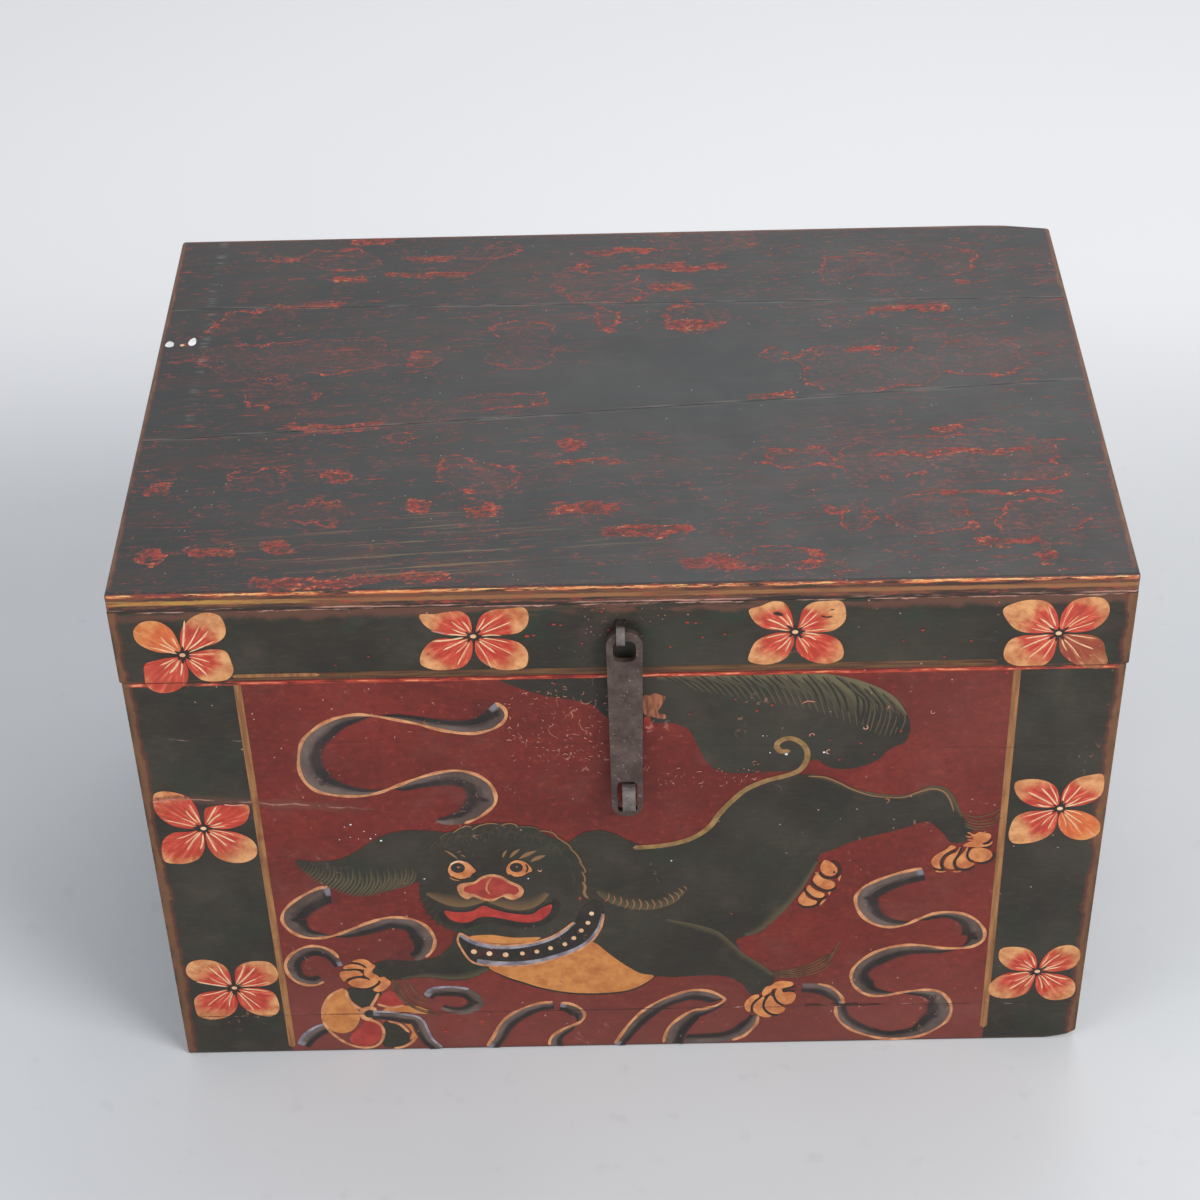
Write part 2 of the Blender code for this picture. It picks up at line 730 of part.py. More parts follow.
def corner_nails():
    """Nails through the lapping ends of the walls and of the lid's rails into the side boards."""
    side_x = BODY_W / 2 - WALL / 2
    mid_front = (RIM - FRONT_UPPER[0] + FRONT_LOWER[0]) / 2
    rows = {
        "front": [
            (FRONT[0], RIM - NAIL_FROM_SEAM, 0),
            (FRONT[1], RIM - FRONT_UPPER[1] - NAIL_FROM_SEAM, 0),
            (FRONT[1], mid_front - 2 * NAIL_FROM_SEAM, 1),
            (FRONT[2], FLOOR + NAIL_FROM_SEAM / 2, 1),
        ],
        "back": [
            (BACK[0], RIM - 2 * NAIL_FROM_SEAM, 0),
            (BACK[0], RIM - BACK_UPPER[1] + NAIL_FROM_SEAM, 0),
            (BACK[1], FLOOR + 2 * NAIL_FROM_SEAM, 1),
        ],
    }
    for side, sign in (("front", -1), ("back", 1)):
        for hand, hand_sign, sides in (("left", -1, LEFT), ("right", 1, RIGHT)):
            for i, (board, z, level) in enumerate(rows[side]):
                head = (hand_sign * side_x, sign * BODY_D / 2, z)
                name = f"{side}_{hand}_nail_{i + 1}"
                nail(name, head, (0, -sign, 0), (board, sides[level]), IRON, TRUNK)
            for i, z in enumerate((LID_FOOT + NAIL_FROM_SEAM / 2, LID_DECK - NAIL_FROM_SEAM / 2 - LAP)):
                head = (hand_sign * (WIDTH / 2 - WALL / 2), sign * DEPTH / 2, z)
                name = f"lid_{side}_{hand}_nail_{i + 1}"
                pair = (RAILS[f"lid_{side}_rail"], RAILS[f"lid_{hand}_rail"])
                nail(name, head, (0, -sign, 0), pair, IRON, LID)


def top_nails():
    """Nails down through the lid's boards into its rails."""
    edge = WALL / 2
    end = WIDTH / 2 - edge
    middle = (TOP_FRONT[0] - TOP_BACK[0]) / 2
    rows = {"front": 3 * WALL - DEPTH / 2, "middle": middle, "back": DEPTH / 2 - 3 * WALL}
    for row, y in rows.items():
        board = TOPS[f"lid_{row}_plank"]
        for hand, sign in (("left", -1), ("right", 1)):
            pair = (board, RAILS[f"lid_{hand}_rail"])
            nail(f"top_{row}_{hand}_nail", (sign * end, y, HEIGHT), DOWN, pair, IRON, LID)
            if row == "middle":
                continue
            along = -1 if row == "front" else 1
            pair = (board, RAILS[f"lid_{row}_rail"])
            place = (sign * (WIDTH / 2 - 4 * WALL), along * (DEPTH / 2 - edge), HEIGHT)
            nail(f"top_{row}_edge_{hand}_nail", place, DOWN, pair, IRON, LID)


corner_nails()
top_nails()
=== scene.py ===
# %% [markdown]
# # A painted plank trunk
# The real object is an old chest of dark planks. Its front carries a red field with a guardian lion that chases a
# ball among ribbons, between two black columns of flowers, and its lid is black lacquer worn through to red.
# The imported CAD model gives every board, nail and iron its place, so it is loaded first and never moved.
# What this lesson adds is the finish of each board and the painting, laid on as thin coats of real thickness.

# %% Load the frame
import json
import math

import bmesh
import bpy
import numpy as np
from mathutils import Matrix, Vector
from mathutils.geometry import tessellate_polygon

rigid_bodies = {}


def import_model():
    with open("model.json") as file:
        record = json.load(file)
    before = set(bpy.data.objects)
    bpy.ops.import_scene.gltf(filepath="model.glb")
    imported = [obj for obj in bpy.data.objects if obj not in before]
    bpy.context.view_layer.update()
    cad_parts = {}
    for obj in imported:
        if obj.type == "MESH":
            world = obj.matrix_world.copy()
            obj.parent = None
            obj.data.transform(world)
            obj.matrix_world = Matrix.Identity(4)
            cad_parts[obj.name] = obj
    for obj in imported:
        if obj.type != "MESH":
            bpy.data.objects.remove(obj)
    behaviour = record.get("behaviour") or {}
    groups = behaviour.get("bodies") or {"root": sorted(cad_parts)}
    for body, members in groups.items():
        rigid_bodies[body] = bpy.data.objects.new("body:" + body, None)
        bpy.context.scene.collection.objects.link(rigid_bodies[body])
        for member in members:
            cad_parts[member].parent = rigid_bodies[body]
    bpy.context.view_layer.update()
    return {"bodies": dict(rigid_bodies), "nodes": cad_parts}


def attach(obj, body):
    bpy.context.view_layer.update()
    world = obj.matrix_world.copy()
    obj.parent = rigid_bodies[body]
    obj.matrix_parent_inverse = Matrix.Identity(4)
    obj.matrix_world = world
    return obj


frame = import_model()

NODES = frame["nodes"]
MM = 0.001
print("frame:", len(NODES), "nodes on", ", ".join(frame["bodies"]))

# %% [markdown]
# ## Camera
# The photograph looks down on the front and the lid from about standing height with a longish lens.
# The place, turn and lens below put the trunk's corners where the photograph has them.

# %% Camera
CAMERA_PLACE = (0.0011, -1.3670, 1.3473)
CAMERA_TURN = (50.734, 1.215, -0.325)
CAMERA_LENS = 78.29
SENSOR = 36.0

camera = bpy.data.objects.new("camera", bpy.data.cameras.new("camera"))
bpy.context.scene.collection.objects.link(camera)
camera.location = CAMERA_PLACE
camera.rotation_euler = [math.radians(turn) for turn in CAMERA_TURN]
camera.data.sensor_width = SENSOR
camera.data.lens = CAMERA_LENS
bpy.context.scene.camera = camera
print("camera:", CAMERA_LENS, "mm lens")

# %% [markdown]
# ## Values and finishes
# A finish is a material. Blender mixes one from nodes, and a long chain of nodes is hard to read, so one small class
# wraps a socket and turns plain sums into Math nodes. Another makes any other node from its type, its settings and
# its sockets. Places come in millimetres on the trunk, so that a scratch runs on from one coat to the next.

# %% Values
class Value:
    """A socket of a finish, so that shader maths reads as plain sums."""

    def __init__(self, finish, socket):
        self.finish = finish
        self.socket = socket

    def math(self, operation, a, b=0.0):
        return self.finish.node("ShaderNodeMath", {"operation": operation}, {0: a, 1: b})

    def __add__(self, other):
        return self.math("ADD", self, other)

    def __sub__(self, other):
        return self.math("SUBTRACT", self, other)

    def __rsub__(self, other):
        return self.math("SUBTRACT", other, self)

    def __mul__(self, other):
        return self.math("MULTIPLY", self, other)

    def __abs__(self):
        return self.math("ABSOLUTE", self)

    __radd__ = __add__
    __rmul__ = __mul__

    def least(self, other):
        return self.math("MINIMUM", self, other)

    def most(self, other):
        return self.math("MAXIMUM", self, other)

    def ease(self, low, high):
        """0 at low and 1 at high, with a soft start and end. Low may be the larger one."""
        settings = {"interpolation_type": "SMOOTHSTEP"}
        return self.finish.node("ShaderNodeMapRange", settings, {0: self, 1: low, 2: high})

    def out(self, key):
        """Another output of the same node."""
        return Value(self.finish, self.socket.node.outputs[key])

    def lay(self, share, paint):
        """This colour with another laid over it, by a share from 0 to 1."""
        return self.finish.mix(share, self, paint)


def colour(red, green, blue):
    """A screen colour, as a colour picker shows it, in the linear values that a shader takes."""
    shares = [part / 255 for part in (red, green, blue)]
    return (*[s / 12.92 if s <= 0.04045 else ((s + 0.055) / 1.055) ** 2.4 for s in shares], 1.0)


# %% Finishes
MIX_FACTOR, MIX_A, MIX_B, MIX_OUT = 0, 6, 7, 2
SEED_MOVE = (7.31, 3.17, 5.93)


class Finish:
    """A material whose colour, sheen and relief are mixed from places on the trunk in millimetres."""

    def __init__(self, name):
        self.material = bpy.data.materials.new(name)
        self.material.use_nodes = True
        self.tree = self.material.node_tree
        metres = self.node("ShaderNodeTexCoord", out="Object")
        self.place = self.vector("SCALE", {0: metres, "Scale": 1 / MM})
        self.x = self.node("ShaderNodeSeparateXYZ", {}, {0: self.place})
        self.y, self.z = self.x.out(1), self.x.out(2)

    def join(self, node, sockets):
        """Links what is a value to a node's sockets, and sets what is a plain number or colour."""
        for key, given in sockets.items():
            if isinstance(given, Value):
                self.tree.links.new(given.socket, node.inputs[key])
            else:
                node.inputs[key].default_value = given

    def node(self, kind, settings={}, sockets={}, out=0):
        made = self.tree.nodes.new(kind)
        for key, setting in settings.items():
            setattr(made, key, setting)
        self.join(made, sockets)
        return Value(self, made.outputs[out])

    def vector(self, operation, sockets, out=0):
        return self.node("ShaderNodeVectorMath", {"operation": operation}, sockets, out)

    def brush(self):
        """Along a stroke in centimetres, and across it from 0 to 1."""
        along = self.node("ShaderNodeSeparateXYZ", {}, {0: self.node("ShaderNodeUVMap", {"uv_map": "brush"})})
        return along, along.out(1)

    def scaled(self, fine, seed, place=None):
        """A place measured in clouds and not in millimetres, moved by a seed so that no two clouds are alike."""
        stretch = fine if isinstance(fine, tuple) else (fine, fine, fine)
        move = [seed * part for part in SEED_MOVE]
        return self.vector("MULTIPLY_ADD", {0: place or self.place, 1: stretch, 2: move})

    def noise(self, fine, seed, detail=3.0, rough=0.5, twist=0.0, place=None):
        """Clouds from 0 to 1. Fine is how many clouds fit in a millimetre, or that number along x, y and z."""
        vector = self.scaled(fine, seed, place)
        sockets = {"Vector": vector, "Scale": 1.0, "Detail": detail, "Roughness": rough, "Distortion": twist}
        return self.node("ShaderNodeTexNoise", {}, sockets)

    def pushed(self, fine, seed, reach, detail, rough):
        """The place, pushed about by clouds, so that an outline drawn there is ragged. Reach is in millimetres."""
        cloud = self.noise(fine, seed, detail, rough).out("Color")
        push = self.vector("MULTIPLY_ADD", {0: cloud, 1: reach, 2: [-part / 2 for part in reach]})
        return self.vector("ADD", {0: self.place, 1: push})

    def cells(self, fine, seed):
        """Distance to the nearest of many scattered points, and a chance value for each point."""
        near = self.node("ShaderNodeTexVoronoi", {}, {"Vector": self.scaled(fine, seed), "Scale": 1.0})
        return near, self.node("ShaderNodeSeparateColor", {}, {0: near.out("Color")})

    def mix(self, share, a, b):
        """From one colour to another. Each is a value, or red, green and blue as a colour picker shows them."""
        a, b = (paint if isinstance(paint, Value) else colour(*paint) for paint in (a, b))
        return self.node("ShaderNodeMix", {"data_type": "RGBA"}, {MIX_FACTOR: share, MIX_A: a, MIX_B: b}, MIX_OUT)

    def done(self, shade, rough, relief, **more):
        """Joins the colour, roughness and relief, in millimetres, to the surface."""
        normal = self.node("ShaderNodeBump", {}, {"Distance": MM, "Height": relief})
        surface = self.tree.nodes["Principled BSDF"]
        self.join(surface, {"Base Color": shade, "Roughness": rough, "Normal": normal, **more})
        return self.material


print("finishes are mixed by", Finish.__name__, "from", Value.__name__)

# %% [markdown]
# ## Floor and light
# The trunk stands on a plain pale floor. Real studio light here is a large soft source at the right, as the shadow at
# the left tells, with a pale room all round. The room is a plain world colour. It is brighter for camera and glossy
# rays, which gives the lacquer a pale room to mirror without more light on the paint.

# %% Floor
FLOOR_REACH = 14.0


def floor_finish():
    made = Finish("pale_floor")
    cloud = made.noise(0.0016, 1, 5)
    shade = made.mix(cloud.ease(0.3, 0.7), (196, 199, 204), (206, 208, 211))
    speck = made.noise(0.05, 2, 4).ease(0.62, 0.75)
    shade = shade.lay(speck * 0.3, (184, 186, 190))
    far = made.y.ease(250, 800).most((abs(made.x) + abs(made.y)).ease(1500, 3000))
    shade = shade.lay(far * 0.95, (234, 235, 238))
    return made.done(shade, 0.55 + cloud * 0.1, made.noise(0.02, 3, 4) * 0.12)


bpy.ops.mesh.primitive_grid_add(x_subdivisions=8, y_subdivisions=8, size=FLOOR_REACH, location=(0, 0, -0.0002))
floor = bpy.context.object
floor.name = "floor"
floor.data.materials.append(floor_finish())
print("floor:", FLOOR_REACH, "m across")

# %% Lights
AIM = Vector((0, 0, 0.2))
LAMPS = {
    "window": ((1.7, -1.5, 1.9), 1.5, 54.0, (1.0, 0.985, 0.96)),
    "room_fill": ((-1.9, -1.6, 1.3), 1.6, 19.0, (0.95, 0.98, 1.0)),
    "room_back": ((0.4, 1.6, 2.3), 1.6, 14.0, (1.0, 1.0, 1.0)),
}
for name, (place, size, watts, tint) in LAMPS.items():
    lamp = bpy.data.lights.new(name, "AREA")
    lamp.shape = "DISK"
    lamp.size = size
    lamp.energy = watts
    lamp.color = tint
    holder = bpy.data.objects.new(name, lamp)
    bpy.context.scene.collection.objects.link(holder)
    holder.location = place
    holder.rotation_euler = (AIM - Vector(place)).to_track_quat("-Z", "Y").to_euler()
print("lamps:", ", ".join(LAMPS))

# %% Room
ROOM_LIGHT, ROOM_SEEN = 0.62, 0.82
world = bpy.data.worlds.new("pale_room")
bpy.context.scene.world = world
world.use_nodes = True
room = world.node_tree
rays = room.nodes.new("ShaderNodeLightPath")
sky = room.nodes["Background"]
sky.inputs["Color"].default_value = colour(240, 242, 245)
seen = rays.outputs["Is Camera Ray"]
for ray in ("Is Glossy Ray", "Is Transmission Ray"):
    either = room.nodes.new("ShaderNodeMath")
    either.operation = "MAXIMUM"
    room.links.new(seen, either.inputs[0])
    room.links.new(rays.outputs[ray], either.inputs[1])
    seen = either.outputs[0]
strength = room.nodes.new("ShaderNodeMapRange")
strength.inputs["To Min"].default_value = ROOM_LIGHT
strength.inputs["To Max"].default_value = ROOM_SEEN
room.links.new(seen, strength.inputs["Value"])
room.links.new(strength.outputs[0], sky.inputs["Strength"])
bpy.context.scene.view_settings.view_transform = "Standard"
print("room light:", ROOM_LIGHT)

# %% [markdown]
# ## Grounds
# The painter first covered the boards with two grounds: a brick red for the middle of the front and a black with a
# little green in it for the columns, the lid and the lion. Both are clouded by the brush and by old varnish.
# They are functions, because the lion, its hair and the boards all have to share the very same black.
# A noise is told how fine it is, its seed, its detail and its roughness. Ease then picks the span of it that shows,
# and lay puts a colour there by a share.

# %% Red and black grounds
def red_ground(made):
    cloud = made.noise((0.011, 0.011, 0.016), 11, 5, 0.62)
    shade = made.mix(cloud.ease(0.32, 0.68), (97, 31, 24), (116, 38, 30))
    brushed = made.noise((0.035, 0.3, 0.35), 12, 4, 0.6)
    shade = shade.lay(brushed.ease(0.5, 0.8) * 0.4, (84, 31, 24))
    mottle = made.noise((0.20, 0.25, 0.25), 17, 5, 0.7)
    shade = shade.lay(mottle.ease(0.5, 0.36) * 0.45, (80, 27, 21))
    shade = shade.lay(mottle.ease(0.55, 0.68) * 0.4, (146, 58, 44))
    bloom = made.noise(0.006, 13, 3).ease(0.45, 0.75) * 0.22 + made.z.ease(110, 0) * 0.36
    return shade.lay(bloom, (122, 72, 64))


def black_ground(made):
    cloud = made.noise(0.014, 14, 5, 0.62)
    shade = made.mix(cloud.ease(0.32, 0.7), (40, 36, 30), (56, 51, 43))
    green = made.noise(0.022, 15, 4).ease(0.5, 0.75)
    shade = shade.lay(green * 0.5, (41, 50, 38))
    fine = made.noise((0.12, 0.4, 0.4), 16, 4, 0.65).ease(0.45, 0.8)
    return shade.lay(fine * 0.3, (76, 66, 54))


# %% [markdown]
# ## Age
# Long use left pin-pricks, red flecks, hair scratches and chips in every coat. On the real trunk they go through
# the whole painting, so every paint finish adds the same ones, by their place on the trunk. The joints between the
# front boards print through as well: a dark line with pale chips beside it.

# %% Age
SEAM_LOW = (37.0, -1.0 / 598)
SEAM_HIGH = (286.75, -23.0 / 598)
HALF_FRONT = 299.0


def seam_gap(made, up, half_width, line):
    """How far a place is from a joint of boards, in millimetres. The joint has a height at the left and a slope."""
    height, slope = line
    return abs(up - (made.x + half_width) * slope - height)


def aged(made, shade):
    haze = made.noise(0.03, 21, 5, 0.6)
    shade = shade.lay(haze.ease(0.5, 0.8) * 0.14, (128, 104, 92))
    near, chance = made.cells(0.21, 22)
    crowd = made.noise(0.014, 32, 3).ease(0.48, 0.60)
    pricks = (near + made.noise(1.1, 24, 2) * 0.16).ease(0.23, 0.17) * chance.ease(0.83, 0.86) * crowd
    shade = shade.lay(pricks * 0.6, (208, 162, 142))
    near, chance = made.cells(0.052, 23)
    flecks = (near + made.noise(0.45, 24, 3) * 0.30).ease(0.22, 0.18) * chance.ease(0.86, 0.88)
    shade = shade.lay(flecks * 0.6, (172, 62, 46))
    curly = abs(made.noise((0.085, 0.085, 0.070), 25, 2, 0.5, 0.8) - 0.5).ease(0.026, 0.010)
    rubbed_spot = (abs(made.x + 20) * (1 / 62) + abs(made.z - 284) * (1 / 46)).ease(1.15, 0.5)
    gate = made.noise(0.017, 26, 3).ease(0.58, 0.70) * 0.7
    scratches = curly * gate.most(rubbed_spot) * made.noise(0.16, 31, 3).ease(0.53, 0.60)
    shade = shade.lay(scratches * 0.6, (196, 140, 122))
    chips = made.noise(0.16, 27, 5, 0.75).ease(0.68, 0.72) * made.noise(0.02, 28, 2).ease(0.45, 0.6)
    shade = shade.lay(chips * 0.7, (112, 52, 40))
    loose = made.noise((0.05, 0.3, 0.3), 29, 5, 0.7)
    for line, dark in ((SEAM_LOW, 0.8), (SEAM_HIGH, 0.35)):
        gap = seam_gap(made, made.z, HALF_FRONT, line)
        shade = shade.lay(gap.ease(0.7, 0.2) * loose.ease(0.60, 0.42) * dark, (40, 26, 22))
        shade = shade.lay(gap.ease(1.5, 0.5) * loose.ease(0.60, 0.68) * dark, (186, 146, 136))
    relief = chips * -0.06 - scratches * 0.02 + haze * 0.05 + made.noise((0.25, 0.8, 0.8), 30, 3) * 0.02
    return shade, relief, chips


print("every paint shares its age")

# %% [markdown]
# ## Boards
# A board shows paint only outside. Inside, on its rim and underneath it is raw wood, brown with age, and along the
# corners of the chest hands have rubbed the paint through to its red priming and then to the wood. The distance to
# the corners needs no painting by hand: on the outside of a box, the middle one of the three distances to its sides
# is the distance to the nearest edge.

# %% Wood and wear
BODY_HALF_W, BODY_HALF_D, BODY_TOP = 299.0, 194.0, 331.75
LID_HALF_W, LID_HALF_D, LID_LOW, LID_TOP = 300.0, 195.0, 332.25, 400.0
BODY_BOX = (BODY_HALF_W, BODY_HALF_D, 0.0, BODY_TOP)
LID_BOX = (LID_HALF_W, LID_HALF_D, LID_LOW, LID_TOP)
PAINT_DEPTH = (1.2, 2.4)


def bare_wood(made, along):
    """Old softwood with its grain along x or along y."""
    coarse = (0.004, 0.10, 0.10) if along == "x" else (0.10, 0.004, 0.10)
    fine = (0.03, 1.1, 1.1) if along == "x" else (1.1, 0.03, 1.1)
    rings = made.noise(coarse, 41, 5, 0.6, 0.7)
    shade = made.mix(rings.ease(0.34, 0.66), (88, 60, 40), (136, 101, 68))
    pores = made.noise(fine, 42, 4, 0.6)
    shade = shade.lay(pores.ease(0.5, 0.75) * 0.45, (66, 44, 30))
    stain = made.noise(0.007, 43, 5, 0.6).ease(0.48, 0.72)
    shade = shade.lay(stain * 0.55, (64, 48, 36))
    return shade, pores * 0.09 + rings * 0.12


def box_edges(made, half_w, half_d, low, high):
    """For a place outside a box, how far it is from an upright corner and from the box's rims, in millimetres.

    The last value is how far a place lies in from the walls' outer faces."""
    dx, dy = half_w - abs(made.x), half_d - abs(made.y)
    return dx.most(dy), (made.z - low).least(high - made.z), dx.least(dy)


def rubbed(made, shade, edge, reach):
    """Wear at an edge: first the red priming, then a rim of dirty wood."""
    ragged = made.noise(0.05, 51, 6, 0.7) * 2.8 + made.noise(0.02, 52, 3) * 1.6 - 1.7
    worn = edge - ragged * reach * 0.6
    shade = shade.lay(worn.ease(reach * 0.95, reach * 0.60) * 0.6, (98, 50, 39))
    wood = made.mix(made.noise(0.08, 53, 4), (84, 58, 40), (132, 92, 62))
    bare = worn.ease(reach * 0.6, reach * 0.3)
    shade = shade.lay(bare * 0.85, wood)
    grime = made.noise(0.06, 54, 4).ease(0.42, 0.62)
    return shade.lay(edge.ease(3.2, 0.6) * grime * 0.7, (56, 44, 36)), bare


def board(made, shade, relief, worn, deep, along, rough, shows, **sheen):
    """Ends a painted board: raw wood where a place lies deep inside, and a share of its grain through the paint."""
    wood, grain = bare_wood(made, along)
    inside = deep.ease(*PAINT_DEPTH)
    relief = relief + (grain - worn * 0.15) * (shows + inside * (1 - shows))
    return made.done(shade.lay(inside, wood), rough + worn * 0.15 + inside * 0.2, relief, **sheen)


# %% Front boards
FIELD_LEFT, FIELD_RIGHT = (-228.0, -1.6 / 330), (236.6, -2.4 / 330)
SHEEN = {"Specular IOR Level": 0.34}


def front_paint():
    made = Finish("front_ground")
    left = made.x - (made.z * FIELD_LEFT[1] + FIELD_LEFT[0])
    right = (made.z * FIELD_RIGHT[1] + FIELD_RIGHT[0]) - made.x
    field = left.least(right).ease(-0.6, 0.6)
    shade = made.mix(field, black_ground(made), red_ground(made))
    crack = abs(made.z + (made.x + 290) * 0.0985 - 238 + (made.noise(0.08, 55, 4) - 0.5) * 5)
    reach = made.x.ease(-150, -190) * made.x.ease(-297, -290)
    shade = shade.lay(crack.ease(6.0, 0.6) * reach * 0.5, (104, 66, 54))
    split = crack.ease(0.8, 0.25) * reach * made.noise(0.09, 98, 4).ease(0.4, 0.6)
    shade = shade.lay(split * 0.7, (176, 130, 112))
    shade, relief, _ = aged(made, shade)
    lip = abs(made.z - 329.9 + (made.noise((0.06, 0.3, 0.3), 56, 4, 0.65) - 0.5) * 2.4)
    torn = made.noise((0.035, 0.2, 0.2), 57, 5, 0.7)
    shade = shade.lay(lip.ease(1.6, 0.8) * torn.ease(0.40, 0.50) * 0.85, (176, 64, 44))
    shade = shade.lay(lip.ease(0.9, 0.4) * torn.ease(0.50, 0.60), (222, 138, 98))
    corner, _, deep = box_edges(made, *BODY_BOX)
    shade, worn = rubbed(made, shade, corner, 6.5)
    shade = shade.lay(made.z.ease(4.0, 0.6) * 0.6, (70, 54, 46))
    return board(made, shade, relief, worn, deep, "x", 0.42 + made.noise(0.05, 58, 4) * 0.16, 0.15, **SHEEN)


FRONT_PAINT = front_paint()

# %% Side boards
def side_paint(name, box):
    """Black paint on the ends of the chest, rubbed through to red, with the wood's grain under it."""
    made = Finish(name)
    shade = black_ground(made)
    rub = made.noise((0.08, 0.018, 0.09), 61, 6, 0.68)
    patch = made.noise(0.009, 62, 3).ease(0.45, 0.68)
    lines = abs(rub - 0.5).ease(0.03, 0.008) * made.noise(0.14, 63, 3).ease(0.42, 0.6)
    shade = shade.lay(lines * patch * 0.8, (140, 56, 44))
    shade = shade.lay(rub.ease(0.62, 0.75) * 0.6, (92, 46, 37))
    shade, relief, _ = aged(made, shade)
    corner, rim, deep = box_edges(made, *box)
    shade, worn = rubbed(made, shade, corner.least(rim), 7.0)
    return board(made, shade, relief, worn, deep, "y", 0.42 + rub * 0.14, 0.3)


SIDE_PAINT = side_paint("side_paint", BODY_BOX)
LID_SIDE_PAINT = side_paint("lid_side_paint", LID_BOX)

# %% Raw boards of the back and the floor
def raw_boards():
    made = Finish("raw_boards")
    shade, grain = bare_wood(made, "x")
    drips = made.noise((0.05, 0.05, 0.012), 64, 5, 0.65).ease(0.58, 0.72)
    shade = shade.lay(drips * 0.55, (52, 38, 31))
    near, chance = made.cells(0.02, 65)
    worms = near.ease(0.035, 0.02) * chance.ease(0.7, 0.72)
    shade = shade.lay(worms, (30, 20, 15))
    corner, rim, _ = box_edges(made, LID_HALF_W, LID_HALF_D, 0.0, LID_TOP)
    grime = corner.least(rim).ease(9.0, 1.0) * made.noise(0.05, 66, 4).ease(0.3, 0.6)
    shade = shade.lay(grime * 0.6, (60, 45, 35))
    return made.done(shade, 0.68 + grain * 0.8, grain * 1.3 - worms * 0.5)


RAW_BOARDS = raw_boards()

# %% [markdown]
# ## Lid
# The lid's boards are black lacquer over red. The black has crazed and flaked along the grain, so the red shows as
# thin broken outlines and streaks, thickest at the left and the back and at the front right corner, and hardly at
# all in the middle. Thin outlines come from the places where a cloud passes one value, which is how a map draws
# contours. Along the front edge many hands have left a broken line of pale wood over a gilt one.

# %% Flaked places of the lid
SEAM_FRONT = (-43.0, 48.0 / 600)
SEAM_BACK = (108.0, -8.0 / 600)
CALM = (60.0, 10.0, 190.0, 75.0)
GRAIN_SLOPE = 0.07
CRAZED = [
    (-61, 64, 19, 29), (-84, -82, 24, 15), (-217, 6, 21, 10), (-207, 45, 58, 17), (-124, 39, 9, 9), (160, 22, 44, 21),
    (232, 30, 28, 16), (204, -78, 66, 25), (186, -135, 26, 19), (250, -140, 28, 24), (139, -133, 8, 14),
    (-5, 82, 8, 12), (52, 82, 20, 16), (105, 39, 12, 12), (-87, 168, 22, 11), (-210, 167, 42, 8), (227, 146, 12, 19),
    (145, 125, 8, 8), (-12, 128, 30, 17), (-137, -44, 10, 9), (-90, -8, 42, 10), (110, -72, 17, 7),
    (-223, -86, 14, 8), (-191, -123, 20, 11), (95, -170, 18, 9), (-240, 95, 26, 9), (170, 152, 34, 12),
    (60, 180, 30, 8),
]
FLAKED = [
    (-20, -121, 19, 4), (15, -144, 26, 4.5), (54, -175, 18, 5), (-177, -31.5, 30, 2.2), (2, 168.5, 22, 2.6),
    (-127, 164.5, 15, 2.6), (-183, 140.5, 12, 2), (41, 147.5, 35, 2.8), (38, 122, 14, 2.6), (-124, 144, 30, 2),
    (50, 76, 18, 3.4), (192, 91, 27, 2.2), (97, -6.5, 16, 1.8), (204, -71, 48, 1.8), (204, -45, 9, 2.4),
    (-168, 191, 14, 3.4), (-83, -120, 10, 5), (-129, -184, 25, 3.4), (-186, -187, 30, 4.4), (162, 43, 10, 3),
    (-19, -74, 20, 1.6), (-203, 109, 20, 2), (-243, -155, 12, 3), (229, -161, 20, 2), (247, -175, 6, 6),
    (-171, -84, 9, 6), (-203, -153, 10, 5), (-278, -160, 6, 8), (-120, -115, 7, 5), (-281, -92, 6, 4),
    (-30, -57, 6, 6), (230, -112, 34, 1.6),
]


def nearest_spot(made, spots, place):
    """Millimetres outside the nearest spot, less than 0 inside it.

    A spot is a place on the lid and half its two sizes."""
    nearest = None
    for x, y, half_x, half_y in spots:
        end = min(half_x, half_y)
        local = made.vector("MULTIPLY_ADD", {0: place, 1: (1, 1, 0), 2: (-x, -y, 0)})
        local = made.vector("ABSOLUTE", {0: local})
        local = made.vector("SUBTRACT", {0: local, 1: (half_x - end, half_y - end, 0)})
        local = made.vector("MAXIMUM", {0: local, 1: (0, 0, 0)})
        reach = made.vector("LENGTH", {0: local}, "Value") - end
        nearest = nearest.least(reach) if nearest else reach
    return nearest


print(len(CRAZED), "crazed and", len(FLAKED), "flaked places")

